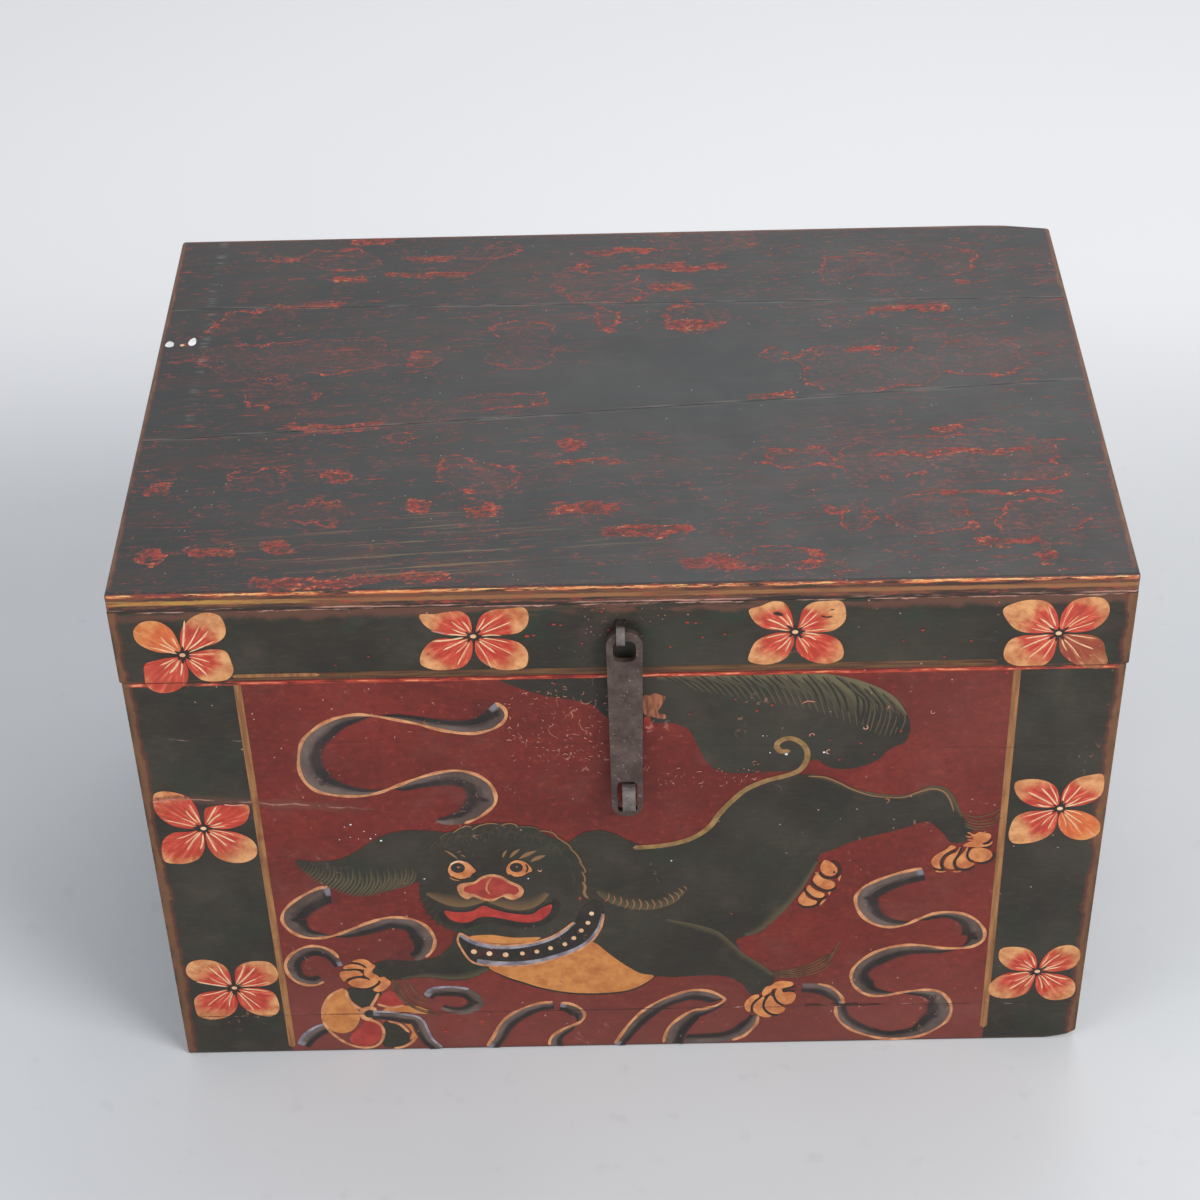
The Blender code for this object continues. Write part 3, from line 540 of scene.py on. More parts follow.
# %% Lid lacquer
def top_shade(made):
    """The colour of the lid's upper side, with painted shade towards its front."""
    cloud = made.noise((0.006, 0.012, 0.01), 71, 5, 0.6)
    shade = made.mix(cloud.ease(0.3, 0.7), (35, 37, 38), (47, 48, 48))
    # Darker towards the lid's front edge: painted shade, where the lacquer mirrors less of the room.
    shade = shade.lay(made.y.ease(-50, -190) * 0.4, (30, 27, 24))
    grain = made.node("ShaderNodeCombineXYZ", {}, {0: made.x, 1: made.y - made.x * GRAIN_SLOPE})
    brushed = made.noise((0.010, 0.45, 1.0), 72, 4, 0.65, place=grain)
    shade = shade.lay(brushed.ease(0.48, 0.8) * 0.5, (66, 57, 49))
    x, y, wide, tall = CALM
    away = abs(made.x - x) * (1 / wide) + abs(made.y - y) * (1 / tall)
    dense = (away + (made.noise(0.009, 73, 4, 0.6) - 0.5) * 1.3).ease(0.5, 1.3)
    tint = made.noise((0.010, 0.05, 1.0), 74, 6, 0.7, place=grain)
    shade = shade.lay(tint.ease(0.45, 0.75) * dense * 0.5, (78, 46, 38))
    ragged = made.pushed((0.05, 0.07, 0.05), 75, (30.0, 22.0, 0.0), 6, 0.68)
    wobble = (made.noise((0.020, 0.034, 1.0), 108, 6, 0.62, 0.4) - 0.5) * 60.0
    broken = made.noise((0.16, 0.26, 0.2), 77, 5, 0.7)
    speck = made.noise((0.30, 0.42, 0.3), 78, 4, 0.7)
    sliver = made.noise((0.055, 0.50, 1.0), 76, 5, 0.7, place=grain)
    partly = made.noise((0.024, 0.032, 0.03), 99, 3).ease(0.44, 0.56)
    ring = nearest_spot(made, CRAZED, ragged) + wobble
    inside = ring.ease(0.5, -5.0)
    shade = shade.lay(inside * speck.ease(0.46, 0.66) * 0.32, (86, 46, 38))
    net = abs(made.noise((0.09, 0.15, 1.0), 107, 6, 0.68, 0.5) - 0.5).ease(0.024, 0.008) * broken.ease(0.44, 0.54)
    shade = shade.lay(net * inside * 0.5, (126, 52, 41))
    rim = abs(ring).ease(1.5, 0.5) * broken.ease(0.41, 0.48) * (partly * 0.75 + 0.25)
    shade = shade.lay(rim * 0.95, made.mix(speck.ease(0.45, 0.7), (150, 52, 39), (190, 96, 66)))
    crazed = abs(made.noise((0.020, 0.085, 1.0), 79, 6, 0.62, 0.3, grain) - 0.5).ease(0.012, 0.003)
    crazed = crazed * dense * broken.ease(0.47, 0.58)
    shade = shade.lay(crazed * 0.8, (132, 53, 41))
    grit = (sliver + partly * 0.05).ease(0.645, 0.685) * dense
    shade = shade.lay(grit * 0.8, made.mix(speck.ease(0.4, 0.6), (118, 48, 38), (158, 66, 48)))
    flake = nearest_spot(made, FLAKED, ragged) + (sliver - 0.5) * 14.0 + (broken - 0.5) * 12.0
    fill = flake.ease(0.3, -0.7) * speck.ease(0.43, 0.52)
    torn = abs(flake).ease(1.15, 0.35) * (partly * 0.6 + 0.4) * speck.ease(0.36, 0.46)
    shade = shade.lay(fill * 0.75, made.mix(broken.ease(0.42, 0.58), (160, 57, 42), (100, 39, 32)))
    shade = shade.lay(torn * 0.9, made.mix(speck.ease(0.52, 0.64), (168, 61, 45), (212, 132, 84)))
    near, chance = made.cells(0.30, 90)
    shade = shade.lay(near.ease(0.20, 0.10) * chance.ease(0.965, 0.97) * 0.6, (160, 156, 150))
    gold_place = abs(made.x + 120) * (1 / 150) + abs(made.y + 155) * (1 / 48)
    gold = made.noise((0.010, 0.40, 1.0), 81, 5, 0.65, place=grain).ease(0.54, 0.68) * gold_place.ease(1.15, 0.3)
    shade = shade.lay(gold * 0.75, (134, 104, 70))
    return shade, torn.most(fill).most(rim).most(grit * 0.6)


def seam_dust(made, shade):
    """Grey dust and bared wood along the joints of the lid's boards."""
    dry = made.noise((0.03, 0.3, 0.3), 82, 5, 0.65)
    for line in (SEAM_FRONT, SEAM_BACK):
        gap = seam_gap(made, made.y, LID_HALF_W, line)
        shade = shade.lay(gap.ease(3.0, 0.5) * dry.ease(0.44, 0.66) * 0.42, (124, 118, 112))
        shade = shade.lay(gap.ease(0.6, 0.15) * dry.ease(0.58, 0.44) * 0.7, (24, 20, 19))
    dusty = abs(made.x + 270 + (made.noise(0.02, 83, 3) - 0.5) * 8).ease(5.0, 0.5) * made.y.ease(-60, 40)
    return shade.lay(dusty * dry.ease(0.5, 0.7) * 0.4, (136, 134, 130))


def front_edge(made, shade):
    """The front of the lid's boards: a gilt line, brown varnish and a broken rim of pale wood."""
    long = made.noise((0.022, 0.3, 0.25), 84, 5, 0.7)
    fine = made.noise((0.09, 0.6, 0.7), 85, 4, 0.7)
    height = made.z + (fine - 0.5) * 2.6
    varnish = made.mix(long.ease(0.4, 0.6), (52, 36, 28), (108, 66, 43))
    gilt = made.mix(made.x.ease(-150, -250), (146, 98, 58), (180, 134, 62))
    line = height.ease(391.4, 392.4) * height.ease(395.4, 394.4)
    edge = made.mix(line * long.ease(0.66, 0.46) * 0.9, varnish, gilt)
    edge = edge.lay(fine.ease(0.56, 0.62) * height.ease(397, 393) * 0.75, (164, 62, 44))
    edge = edge.lay(height.ease(389.9, 388.9) * 0.85, (32, 25, 22))
    pink = abs(made.z - 388.3 + (fine - 0.5) * 2.4).ease(0.9, 0.3) * long.ease(0.44, 0.56)
    edge = edge.lay(pink * made.noise(0.012, 97, 3).ease(0.42, 0.54) * 0.8, (196, 144, 126))
    shade = shade.lay(made.y.ease(-193.4, -194.6), edge)
    across = abs(made.z - 398.9 + (fine - 0.5) * 3.0) + (made.y + 195.0) * 1.1
    torn = made.noise((0.045, 0.5, 0.45), 86, 6, 0.75) + abs(made.x + 20).ease(60, 190) * -0.04
    shade = shade.lay(across.ease(2.4, 1.2) * fine.ease(0.42, 0.52) * 0.8, (132, 50, 37))
    shade = shade.lay(across.ease(2.0, 1.0) * fine.ease(0.50, 0.44) * 0.85, (30, 24, 21))
    pale = made.mix(fine.ease(0.4, 0.6), (226, 172, 110), (206, 120, 70))
    shade = shade.lay(across.ease(1.5, 0.7) * torn.ease(0.42, 0.48), pale)
    return shade, across.ease(3.0, 1.5)


def lid_lacquer():
    made = Finish("lid_lacquer_worn")
    shade, flaked = top_shade(made)
    shade = seam_dust(made, shade)
    dx, dy = LID_HALF_W - abs(made.x), LID_HALF_D - made.y
    ends, _ = rubbed(made, shade, dx.least(dy), 3.4)
    shade = shade.lay(made.y.ease(-190, -186), ends)
    shade, rim = front_edge(made, shade)
    wood, grain = bare_wood(made, "x")
    inside = dx.least(LID_HALF_D - abs(made.y)).least(LID_TOP - made.z).ease(2.2, 3.4)
    shade = shade.lay(inside, wood)
    rough = 0.36 + made.noise(0.03, 87, 5, 0.65) * 0.22 + flaked * 0.15 + inside * 0.25
    grooves = made.noise((0.01, 0.55, 0.5), 88, 4, 0.6)
    relief = grooves * 0.10 - flaked * 0.09 - rim * 0.2 + grain * inside
    return made.done(shade, rough, relief)


LID_LACQUER = lid_lacquer()

# %% Lid front
def lid_front_paint():
    made = Finish("lid_front_ground")
    shade = black_ground(made)
    leaf = made.noise(0.03, 91, 3).ease(0.54, 0.68)
    shade = shade.lay(leaf * 0.5, (34, 58, 43))
    long = made.noise((0.011, 0.05, 0.06), 92, 5, 0.65)
    high = made.z + (made.noise(0.08, 93, 4) - 0.5) * 11
    brown = high.ease(378, 383) * long.ease(0.45, 0.54)
    shade = shade.lay(brown * 0.9, (96, 63, 50))
    torn = abs(made.z - 386.6 + (made.noise(0.12, 94, 4) - 0.5) * 3.4).ease(0.9, 0.3)
    torn = torn * made.noise((0.03, 0.06, 0.2), 95, 5, 0.7).ease(0.5, 0.58)
    shade = shade.lay(torn * 0.8, (196, 146, 130))
    shade, relief, _ = aged(made, shade)
    corner, _, deep = box_edges(made, *LID_BOX)
    shade, worn = rubbed(made, shade, corner, 6.0)
    shade, _ = rubbed(made, shade, made.z - LID_LOW, 1.6)
    return board(made, shade, relief, worn, deep, "x", 0.42 + made.noise(0.05, 96, 4) * 0.16, 0.15, **SHEEN)


LID_FRONT_PAINT = lid_front_paint()

# %% [markdown]
# ## Iron
# The hasp, its staples, the loop hinges and the nails are wrought iron, brown-black and pitted, with the hammer's
# marks still in it. Where iron rubs on iron, the staples are bright.

# %% Iron
def iron(name, dark, light, metal, rough):
    made = Finish(name)
    cloud = made.noise(0.06, 101, 5, 0.65)
    shade = made.mix(cloud.ease(0.3, 0.7), dark, light)
    rust = made.noise(0.11, 102, 5, 0.7).ease(0.55, 0.7)
    shade = shade.lay(rust * 0.55, (74, 48, 36))
    near, chance = made.cells(0.55, 103)
    pits = near.ease(0.34, 0.12) * chance.ease(0.55, 0.7)
    shade = shade.lay(pits * 0.6, (28, 24, 22))
    shiny = made.noise(0.35, 104, 4, 0.6).ease(0.60, 0.72)
    shade = shade.lay(shiny * 0.5, (168, 158, 152))
    relief = made.noise(0.09, 105, 3) * 0.35 - pits * 0.16 + made.noise(0.8, 106, 3) * 0.05
    return made.done(shade, rough + rust * 0.2 + pits * 0.15 - shiny * 0.1, relief, Metallic=metal - rust * 0.5)


HASP_IRON = iron("hasp_iron", (74, 61, 56), (108, 92, 86), 0.65, 0.48)
BRIGHT_IRON = iron("rubbed_iron", (92, 84, 80), (146, 138, 134), 0.9, 0.33)
NAIL_IRON = iron("nail_iron", (48, 38, 33), (76, 60, 52), 0.6, 0.55)

# %% Dress the CAD pieces
DRESS = {
    FRONT_PAINT: "front_",
    SIDE_PAINT: "left_ right_",
    RAW_BOARDS: "back_ floor_ lid_back_rail",
    LID_FRONT_PAINT: "lid_front_",
    LID_SIDE_PAINT: "lid_left_rail lid_right_rail",
    LID_LACQUER: "lid_front_plank lid_middle_plank lid_back_plank top_",
    HASP_IRON: "hasp hinge",
    BRIGHT_IRON: "lock_staple hasp_staple",
    NAIL_IRON: "back_left_nail back_right_nail lid_back_left_nail lid_back_right_nail",
}
STARTS = {start: finish for finish, starts in DRESS.items() for start in starts.split()}
for name, node in NODES.items():
    longest = max((start for start in STARTS if name.startswith(start)), key=len)
    node.data.materials.clear()
    node.data.materials.append(STARTS[longest])
print("dressed", len(NODES), "CAD pieces")

# %% [markdown]
# ## Brushwork
# A coat of paint is modelled as what it is: a very thin layer with an outline. An outline needs only a few
# chosen points with a smooth curve through them. Each coat lies a few hundredths of a millimetre above the one it
# covers, and a Solidify gives it its thickness, so that no two coats fight for the same place. A stroke is told its
# points, its width, its paint, how high it lies over the board and how far its ends run out, all in millimetres but
# the last, which counts in widths.

# %% Smooth lines
STEP = 1.6


def through(points, closed=False, step=STEP):
    """A smooth line through a few points. Numbers after x and z, such as a width, are carried along."""
    p = np.array(points, float)
    ends = (p[-1:], p[:2]) if closed else (2 * p[:1] - p[1:2], 2 * p[-1:] - p[-2:-1])
    p = np.vstack([ends[0], p, ends[1]])
    knots = np.sqrt(np.linalg.norm(np.diff(p[:, :2], axis=0), axis=1))
    line = []
    for i in range(1, len(p) - 2):
        a, b, c = knots[i - 1 : i + 2]
        go = b * ((p[i] - p[i - 1]) / a - (p[i + 1] - p[i - 1]) / (a + b)) + p[i + 1] - p[i]
        come = b * ((p[i + 2] - p[i + 1]) / c - (p[i + 2] - p[i]) / (b + c)) + p[i + 1] - p[i]
        steps = max(1, round(b * b / step))
        t = np.arange(steps)[:, None] / steps
        line.append(
            (2 * t**3 - 3 * t**2 + 1) * p[i]
            + (t**3 - 2 * t**2 + t) * go
            + (3 * t**2 - 2 * t**3) * p[i + 1]
            + (t**3 - t**2) * come
        )
    if not closed:
        line.append(p[-2:-1])
    return np.vstack(line)


def lengths(line):
    """How far along the line each of its points lies, in millimetres."""
    return np.concatenate([[0], np.cumsum(np.linalg.norm(np.diff(line[:, :2], axis=0), axis=1))])


def spaced(line, count):
    """Count points evenly along a line."""
    along = lengths(line)
    at = np.linspace(0, along[-1], count)
    return np.stack([np.interp(at, along, line[:, k]) for k in range(line.shape[1])], axis=1)


def heading(turn):
    """One step in the direction of an angle."""
    return np.array([math.cos(turn), math.sin(turn)])


def left_of(way):
    """A step turned a quarter to the left."""
    return np.array([-way[1], way[0]])


def grid(rows, columns):
    """The four-sided faces between lines of corners, each line with one corner more than columns."""
    row = columns + 1
    return [(a, a + 1, a + row + 1, a + row) for i in range(rows) for a in range(i * row, i * row + columns)]


# %% Coats
COAT = 0.08
COAT_RISE, SHAPE_RISE, STROKE_RISE, HAIR_RISE = 0.0004, 0.001, 0.006, 0.006
SHAPE_LEVELS = 9
BEND_SHARE = 0.86
TIP_SHARE = 0.12
LEAF_ROWS = 8
FRONT_FACE, LID_FACE = -194.0, -195.0


class Coat:
    """One painted piece: thin shapes on a face of the trunk, in x and z millimetres, or x and y on its top."""

    made = 0

    def __init__(self, name, face=FRONT_FACE):
        Coat.made += 1
        self.name = name
        self.face = face
        self.own_lift = Coat.made * COAT_RISE
        self.shapes = 0
        self.corners, self.faces, self.brush, self.finish = [], [], [], []
        self.finishes = []

    def add(self, flat, faces, brush, finish, lift):
        start = len(self.corners)
        flat = np.asarray(flat, float)
        self.shapes += 1
        lifts = np.broadcast_to(lift + self.own_lift + SHAPE_RISE * (self.shapes % SHAPE_LEVELS), len(flat))
        if self.face == LID_TOP:
            self.corners += [(x * MM, y * MM, (self.face + up) * MM) for (x, y), up in zip(flat, lifts)]
        else:
            self.corners += [(x * MM, (self.face - up) * MM, z * MM) for (x, z), up in zip(flat, lifts)]
        self.brush += [tuple(pair) for pair in brush]
        if finish not in self.finishes:
            self.finishes.append(finish)
        for face in faces:
            ring = flat[list(face)]
            turned = np.roll(ring, -1, axis=0)
            facing = (ring[:, 0] * turned[:, 1] - turned[:, 0] * ring[:, 1]).sum()
            if abs(facing) < 1e-6:
                continue
            face = face if facing > 0 else face[::-1]
            self.faces.append([start + i for i in face])
            self.finish.append(self.finishes.index(finish))

    def strip(self, line, near, far, finish, lift, columns=2):
        """A strip between two offsets to the left of a line. It never reaches past the middle of a bend."""
        way = np.gradient(line[:, :2], axis=0)
        way /= np.maximum(np.linalg.norm(way, axis=1), 1e-9)[:, None]
        left = np.stack([-way[:, 1], way[:, 0]], axis=1)
        along = lengths(line)
        bend = np.gradient(np.unwrap(np.arctan2(way[:, 1], way[:, 0])), along)
        tight = BEND_SHARE / np.maximum(np.abs(bend), 1e-6)
        near, far = (np.where(side * bend > 0, np.clip(side, -tight, tight), side) for side in (near, far))
        flat, brush = [], []
        for i in range(len(line)):
            for k in range(columns + 1):
                across = k / columns
                flat.append(line[i, :2] + left[i] * (near[i] + (far[i] - near[i]) * across))
                brush.append((along[i] / 10, across))
        rise = np.repeat(np.linspace(0, STROKE_RISE, len(line)), columns + 1)
        self.add(flat, grid(len(line) - 1, columns), brush, finish, lift + rise)

    def stroke(self, points, width, finish, lift, tip=1.0, step=STEP):
        """A brush stroke. Its ends run out over tip times its width."""
        line = through(points, step=step)
        along = lengths(line)
        half = np.full(len(line), width / 2) if line.shape[1] == 2 else line[:, 2] * width / 2
        from_end = np.minimum(along, along[-1] - along)
        run = np.clip(from_end / max(tip * width, 1e-6), 0, 1)
        half = half * (TIP_SHARE + (1 - TIP_SHARE) * np.sqrt(1 - (1 - run) ** 2))
        self.strip(line, -half, half, finish, lift)

    def band(self, points, finish, lift, columns=4):
        """A ribbon on one side of a line. Each point has its width, which is negative to the right of the line."""
        line = through(points)
        self.strip(line, np.zeros(len(line)), line[:, 2], finish, lift, columns)

    def patch(self, outline, finish, lift, step=STEP):
        line = through(outline, closed=True, step=step)
        faces = tessellate_polygon([[Vector((x, z, 0)) for x, z in line]])
        self.add(line, faces, line / 10, finish, lift)

    def disc(self, middle, radius, finish, lift, squash=1.0):
        turn = np.linspace(0, 2 * math.pi, 24, endpoint=False)
        ring = np.stack([middle[0] + radius * np.cos(turn), middle[1] + radius * squash * np.sin(turn)], axis=1)
        flat = np.vstack([[middle], ring])
        brush = [(0, 0)] + [(1, 1)] * len(ring)
        faces = [(0, 1 + i, 1 + (i + 1) % len(ring)) for i in range(len(ring))]
        self.add(flat, faces, brush, finish, lift)

    def leaf(self, base, tip, width, shape, finish, lift, bend):
        """A brow from its base to its tip. Its brush place is how far out and across."""
        base, tip = np.array(base, float), np.array(tip, float)
        axis = tip - base
        side = left_of(axis) / np.linalg.norm(axis)
        flat, brush = [], []
        for t in np.sin(np.linspace(0, math.pi / 2, LEAF_ROWS + 1))[:-1]:
            half = width / 2 * np.interp(t, *shape)
            middle = base + axis * t + side * bend * math.sin(math.pi * t)
            for across in (0, 0.5, 1):
                flat.append(middle + side * half * (2 * across - 1))
                brush.append((t, across))
        end = len(flat)
        faces = grid(LEAF_ROWS - 1, 2) + [(end - 3, end - 2, end), (end - 2, end - 1, end)]
        self.add([*flat, tip], faces, [*brush, (1, 0.5)], finish, lift)

    def petal(self, heart, outline, wash, finish, lift, rings=5):
        """A petal as rings that shrink from its outline to its middle.

        Its brush place is how far out from the flower's heart, as a share of the wash's reach, and which way."""
        line = through(outline, closed=True, step=2.2)
        middle = line.mean(axis=0)
        axis = (middle - heart) / np.linalg.norm(middle - heart)
        longest = np.linalg.norm(line - heart, axis=1).max()
        flat = [middle] + [middle + (point - middle) * k / rings for k in range(1, rings + 1) for point in line]
        out = np.array(flat) - heart
        turn = np.arctan2(axis[0] * out[:, 1] - axis[1] * out[:, 0], out @ axis)
        brush = np.stack([np.linalg.norm(out, axis=1) / longest / wash, 0.5 + turn / 1.6], axis=1)
        count = len(line)
        faces = [(0, 1 + i, 1 + (i + 1) % count) for i in range(count)]
        for k in range(rings - 1):
            for i in range(count):
                a, b = 1 + k * count + i, 1 + k * count + (i + 1) % count
                faces.append((a, b, b + count, a + count))
        self.add(flat, faces, brush, finish, lift)

    def comb(self, roots, tips, count, width, finish, lift, bow=0.0, tip=6.0):
        """Hairs from one line to another, each bowed by a share of its length."""
        starts, ends = spaced(through(roots), count), spaced(through(tips), count)
        for i, (start, end) in enumerate(zip(starts, ends)):
            axis = end - start
            start = start + axis * 0.05 * (i * 3 % 5)
            middle = (start + end) / 2 + bow * left_of(axis)
            self.stroke([start, middle, end], width, finish, lift + HAIR_RISE * (i % 3), tip)

    def done(self, body, slot=None, keep=None):
        """Makes the piece and lets it ride on its body. Keep is the span of heights that belongs to that body."""
        mesh = bpy.data.meshes.new(self.name)
        mesh.from_pydata(self.corners, [], self.faces)
        for finish in self.finishes:
            mesh.materials.append(finish)
        mesh.polygons.foreach_set("material_index", self.finish)
        map_ = mesh.uv_layers.new(name="brush")
        corner_of = np.zeros(len(mesh.loops), np.int32)
        mesh.loops.foreach_get("vertex_index", corner_of)
        map_.data.foreach_set("uv", np.array(self.brush, np.float32)[corner_of].ravel())
        if keep:
            keep_heights(mesh, *keep)
        piece = bpy.data.objects.new(self.name, mesh)
        bpy.context.scene.collection.objects.link(piece)
        thick = piece.modifiers.new("coat", "SOLIDIFY")
        thick.thickness = COAT * MM
        thick.offset = -1
        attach(piece, body)
        print(self.name, len(mesh.polygons), "faces on", body)


# %% Cutting a coat at the lid's joint
def keep_heights(mesh, low, high):
    """Cuts away what lies under or over a span of heights in millimetres."""
    bm = bmesh.new()
    bm.from_mesh(mesh)
    for height, up in ((low, -1), (high, 1)):
        everything = bm.verts[:] + bm.edges[:] + bm.faces[:]
        bmesh.ops.bisect_plane(
            bm, geom=everything, plane_co=(0, 0, height * MM), plane_no=(0, 0, up), clear_outer=True
        )
    bm.to_mesh(mesh)
    bm.free()


# %% [markdown]
# ## Paint finishes
# Oil colours on the front: peach for lines and toes, ochre for the chest, the ball and the borders, two reds, olive
# for hair, and greys for the ribbons. Each is brushed, so it varies along the stroke, and each carries the same age.

# %% Plain oil colours
def oil(name, dark, light, seed, rough=0.42, brushed=(0.12, 0.4, 0.12), wear=0.0):
    """A plain colour, brushed from a dark to a light tone. Where it is thin, the red ground shows."""
    made = Finish(name)
    cloud = made.noise(brushed, seed, 4, 0.6)
    shade = made.mix(cloud.ease(0.3, 0.7), dark, light)
    thin = made.noise(0.07, seed + 0.5, 4, 0.65).ease(0.52, 0.72)
    shade = shade.lay(thin * (0.22 + wear), red_ground(made))
    shade, relief, chips = aged(made, shade)
    return made.done(shade, rough + cloud * 0.12 + chips * 0.1, relief + cloud * 0.04, **SHEEN)


PEACH = oil("peach_line", (164, 102, 68), (214, 152, 106), 111)
TOE_PEACH = oil("toe_peach", (172, 97, 55), (212, 141, 86), 112)
CHEST_OCHRE = oil("chest_ochre", (176, 106, 54), (200, 134, 74), 113)
BORDER_OCHRE = oil("border_ochre", (124, 82, 50), (164, 116, 70), 114, 0.45, (0.4, 0.4, 0.03), 0.2)
LID_OCHRE = oil("lid_border_ochre", (62, 40, 28), (112, 77, 46), 123, 0.45, (0.03, 0.4, 0.5), 0.1)
BACK_OCHRE = oil("back_ochre", (118, 90, 54), (158, 124, 78), 115)
MOUTH_RED = oil("mouth_red", (150, 44, 38), (180, 60, 50), 116)
NOSE_RED = oil("nose_red", (142, 46, 40), (168, 62, 52), 117)
LINE_GREY = oil("light_grey", (102, 97, 106), (160, 154, 162), 118)
CREAM = oil("cream_stroke", (206, 156, 116), (234, 198, 158), 119)
BLACK_LINE = oil("black_line", (33, 30, 27), (46, 42, 37), 120)
WHITE_SPLASH = oil("white_splash", (206, 206, 208), (236, 236, 238), 121)
OLIVE_ON_RED = oil("olive_hair", (72, 56, 41), (106, 84, 58), 122)
BARED = oil("bared_wood", (102, 56, 42), (176, 112, 80), 124, 0.55, (0.5, 0.5, 0.09), 0.5)
PINK_CHIP = oil("pink_chip", (168, 98, 80), (206, 150, 132), 125)
RED_CHIP = oil("red_chip", (136, 45, 36), (168, 64, 50), 126)

# %% Body black, with soft olive edges and hair
def on_black(made, fade, paint):
    """Ends a paint that fades into the black under it."""
    shade, relief, _ = aged(made, black_ground(made).lay(fade, paint) if paint else black_ground(made))
    return made.done(shade, 0.42 + made.noise(0.05, 131, 4) * 0.14, relief, **SHEEN)


def soft_edge(name, edge_colour, reach, share):
    """A colour that fades across the stroke into the black that it lies on."""
    made = Finish(name)
    _, across = made.brush()
    fade = (across + (made.noise(0.1, 132, 4) - 0.5) * 0.35).ease(reach, 0.0) * share
    return on_black(made, fade, edge_colour)


def soft_hair(name, hair_colour, share, root=0.01):
    """A hair, plain along its middle, that fades into the black on both sides and over its root in centimetres."""
    made = Finish(name)
    along, across = made.brush()
    fade = abs(across - 0.5).ease(0.5, 0.1) * along.ease(0.0, root) * share
    return on_black(made, fade, hair_colour)


LION_BLACK = on_black(Finish("lion_black"), None, None)
OLIVE_EDGE = soft_edge("olive_edge", (96, 85, 60), 0.95, 0.62)
PLUME_OLIVE = soft_edge("plume_olive", (106, 97, 70), 0.9, 0.85)
TAN_EDGE = soft_edge("tan_edge", (126, 96, 62), 1.0, 0.66)
OLIVE_HAIR = soft_hair("olive_comb", (108, 94, 66), 0.62, 1.6)
FAINT_HAIR = soft_hair("faint_comb", (86, 75, 56), 0.26)
TAN_HAIR = soft_hair("tan_comb", (150, 110, 72), 0.8)
DARK_HAIR = soft_hair("dark_comb", (38, 35, 29), 0.55)
LIGHT_HAIR = soft_hair("light_comb", (114, 104, 75), 0.38)

# %% Ribbon
def ribbon_paint():
    """Grey beside the peach line and near black on the other side, brushed along the ribbon."""
    made = Finish("ribbon_grey")
    along, across = made.brush()
    lengthwise = made.node("ShaderNodeCombineXYZ", {}, {0: along, 1: across})
    streak = made.noise((0.7, 9.0, 1.0), 141, 4, 0.6, place=lengthwise)
    cloud = made.noise(0.05, 142, 4)
    grey = made.mix(cloud.ease(0.3, 0.7), (74, 59, 53), (106, 90, 84))
    dark = made.mix(cloud.ease(0.3, 0.7), (32, 26, 25), (46, 38, 37))
    turn = across + (streak - 0.5) * 0.5
    shade = made.mix(turn.ease(0.30, 0.62), grey, dark)
    lit = along.ease(0.55, 0.2) * across.ease(0.6, 0.4) + streak.ease(0.64, 0.8) * across.ease(0.4, 0.15) * 0.35
    shade = shade.lay(lit * 0.6, (140, 138, 150))
    shade = shade.lay((across + (cloud - 0.5) * 0.2).ease(0.84, 1.02) * 0.75, red_ground(made))
    shade, relief, _ = aged(made, shade)
    return made.done(shade, 0.44 + cloud * 0.12, relief + streak * 0.03, **SHEEN)


RIBBON = ribbon_paint()

# %% [markdown]
# ## Borders
# A narrow ochre line frames the red field at the left and right, and another runs along the foot of the lid.
# They are drawn by a hand and not by a ruler, so each gets a few points that wander a little.

# %% Borders
FIELD_SPAN, BORDER_SPAN, LID_SPAN = (0.4, 328.8), (0.5, 328.8), (332.8, 399)
borders = Coat("border_lines")
borders.stroke([(-230.2, 331), (-229.6, 250), (-229.2, 170), (-228.6, 90), (-228.0, 5)], 4.4, BORDER_OCHRE, 0.10, 0.3)
borders.stroke([(234.2, 331), (234.8, 262), (235.4, 180), (236.0, 100), (236.6, 12)], 4.4, BORDER_OCHRE, 0.10, 0.3)
borders.done("trunk", "red_paint", BORDER_SPAN)
lid_line = Coat("lid_border_line", LID_FACE)
lid_line.stroke([(-232, 335.8), (-120, 336.2), (0, 335.6), (120, 336.0), (222, 336.0)], 4.6, LID_OCHRE, 0.10, 0.6)
lid_line.stroke([(-232, 336.6), (-215, 336.8), (-196, 336.8), (-180, 336.6)], 2.6, BORDER_OCHRE, 0.13, 1.5)
lid_line.done("lid", "black_paint", LID_SPAN)

# %% Joints and nails filled by paint
PUTTY_LIFT, PUTTY_RADIUS, JOINT_WIDTH = 0.035, 3.6, 3.0
joints = Coat("filled_joints")
for height, slope in (SEAM_LOW, SEAM_HIGH):
    ends = [(x, height + (x + HALF_FRONT) * slope) for x in (-298.4, -150, 0, 150, 298.4)]
    joints.stroke(ends, JOINT_WIDTH, FRONT_PAINT, PUTTY_LIFT, 0.1)
lid_putty, top_putty = Coat("filled_lid_nails", LID_FACE), Coat("filled_top_nails", LID_TOP)
PUTTY = {
    "front_": (joints, 2, FRONT_PAINT),
    "lid_front_": (lid_putty, 2, LID_FRONT_PAINT),
    "top_": (top_putty, 1, LID_LACQUER),
}
for name, node in NODES.items():
    for start, (coat, up, finish) in PUTTY.items():
        if name.startswith(start) and "nail" in name:
            box = np.array([node.matrix_world @ Vector(corner) for corner in node.bound_box]) / MM
            middle = (box.min(axis=0) + box.max(axis=0)) / 2
            coat.disc((middle[0], middle[up]), PUTTY_RADIUS, finish, PUTTY_LIFT)
joints.done("trunk", "red_paint")
lid_putty.done("lid", "black_paint")
top_putty.done("lid", "lid_lacquer")

# %% [markdown]
# ## Ribbons
# Each ribbon is a peach line with a grey and black band on one side of it. Where the ribbon turns over, the band
# passes to the other side, so its width goes through zero and changes sign. A point is x, z and that width.

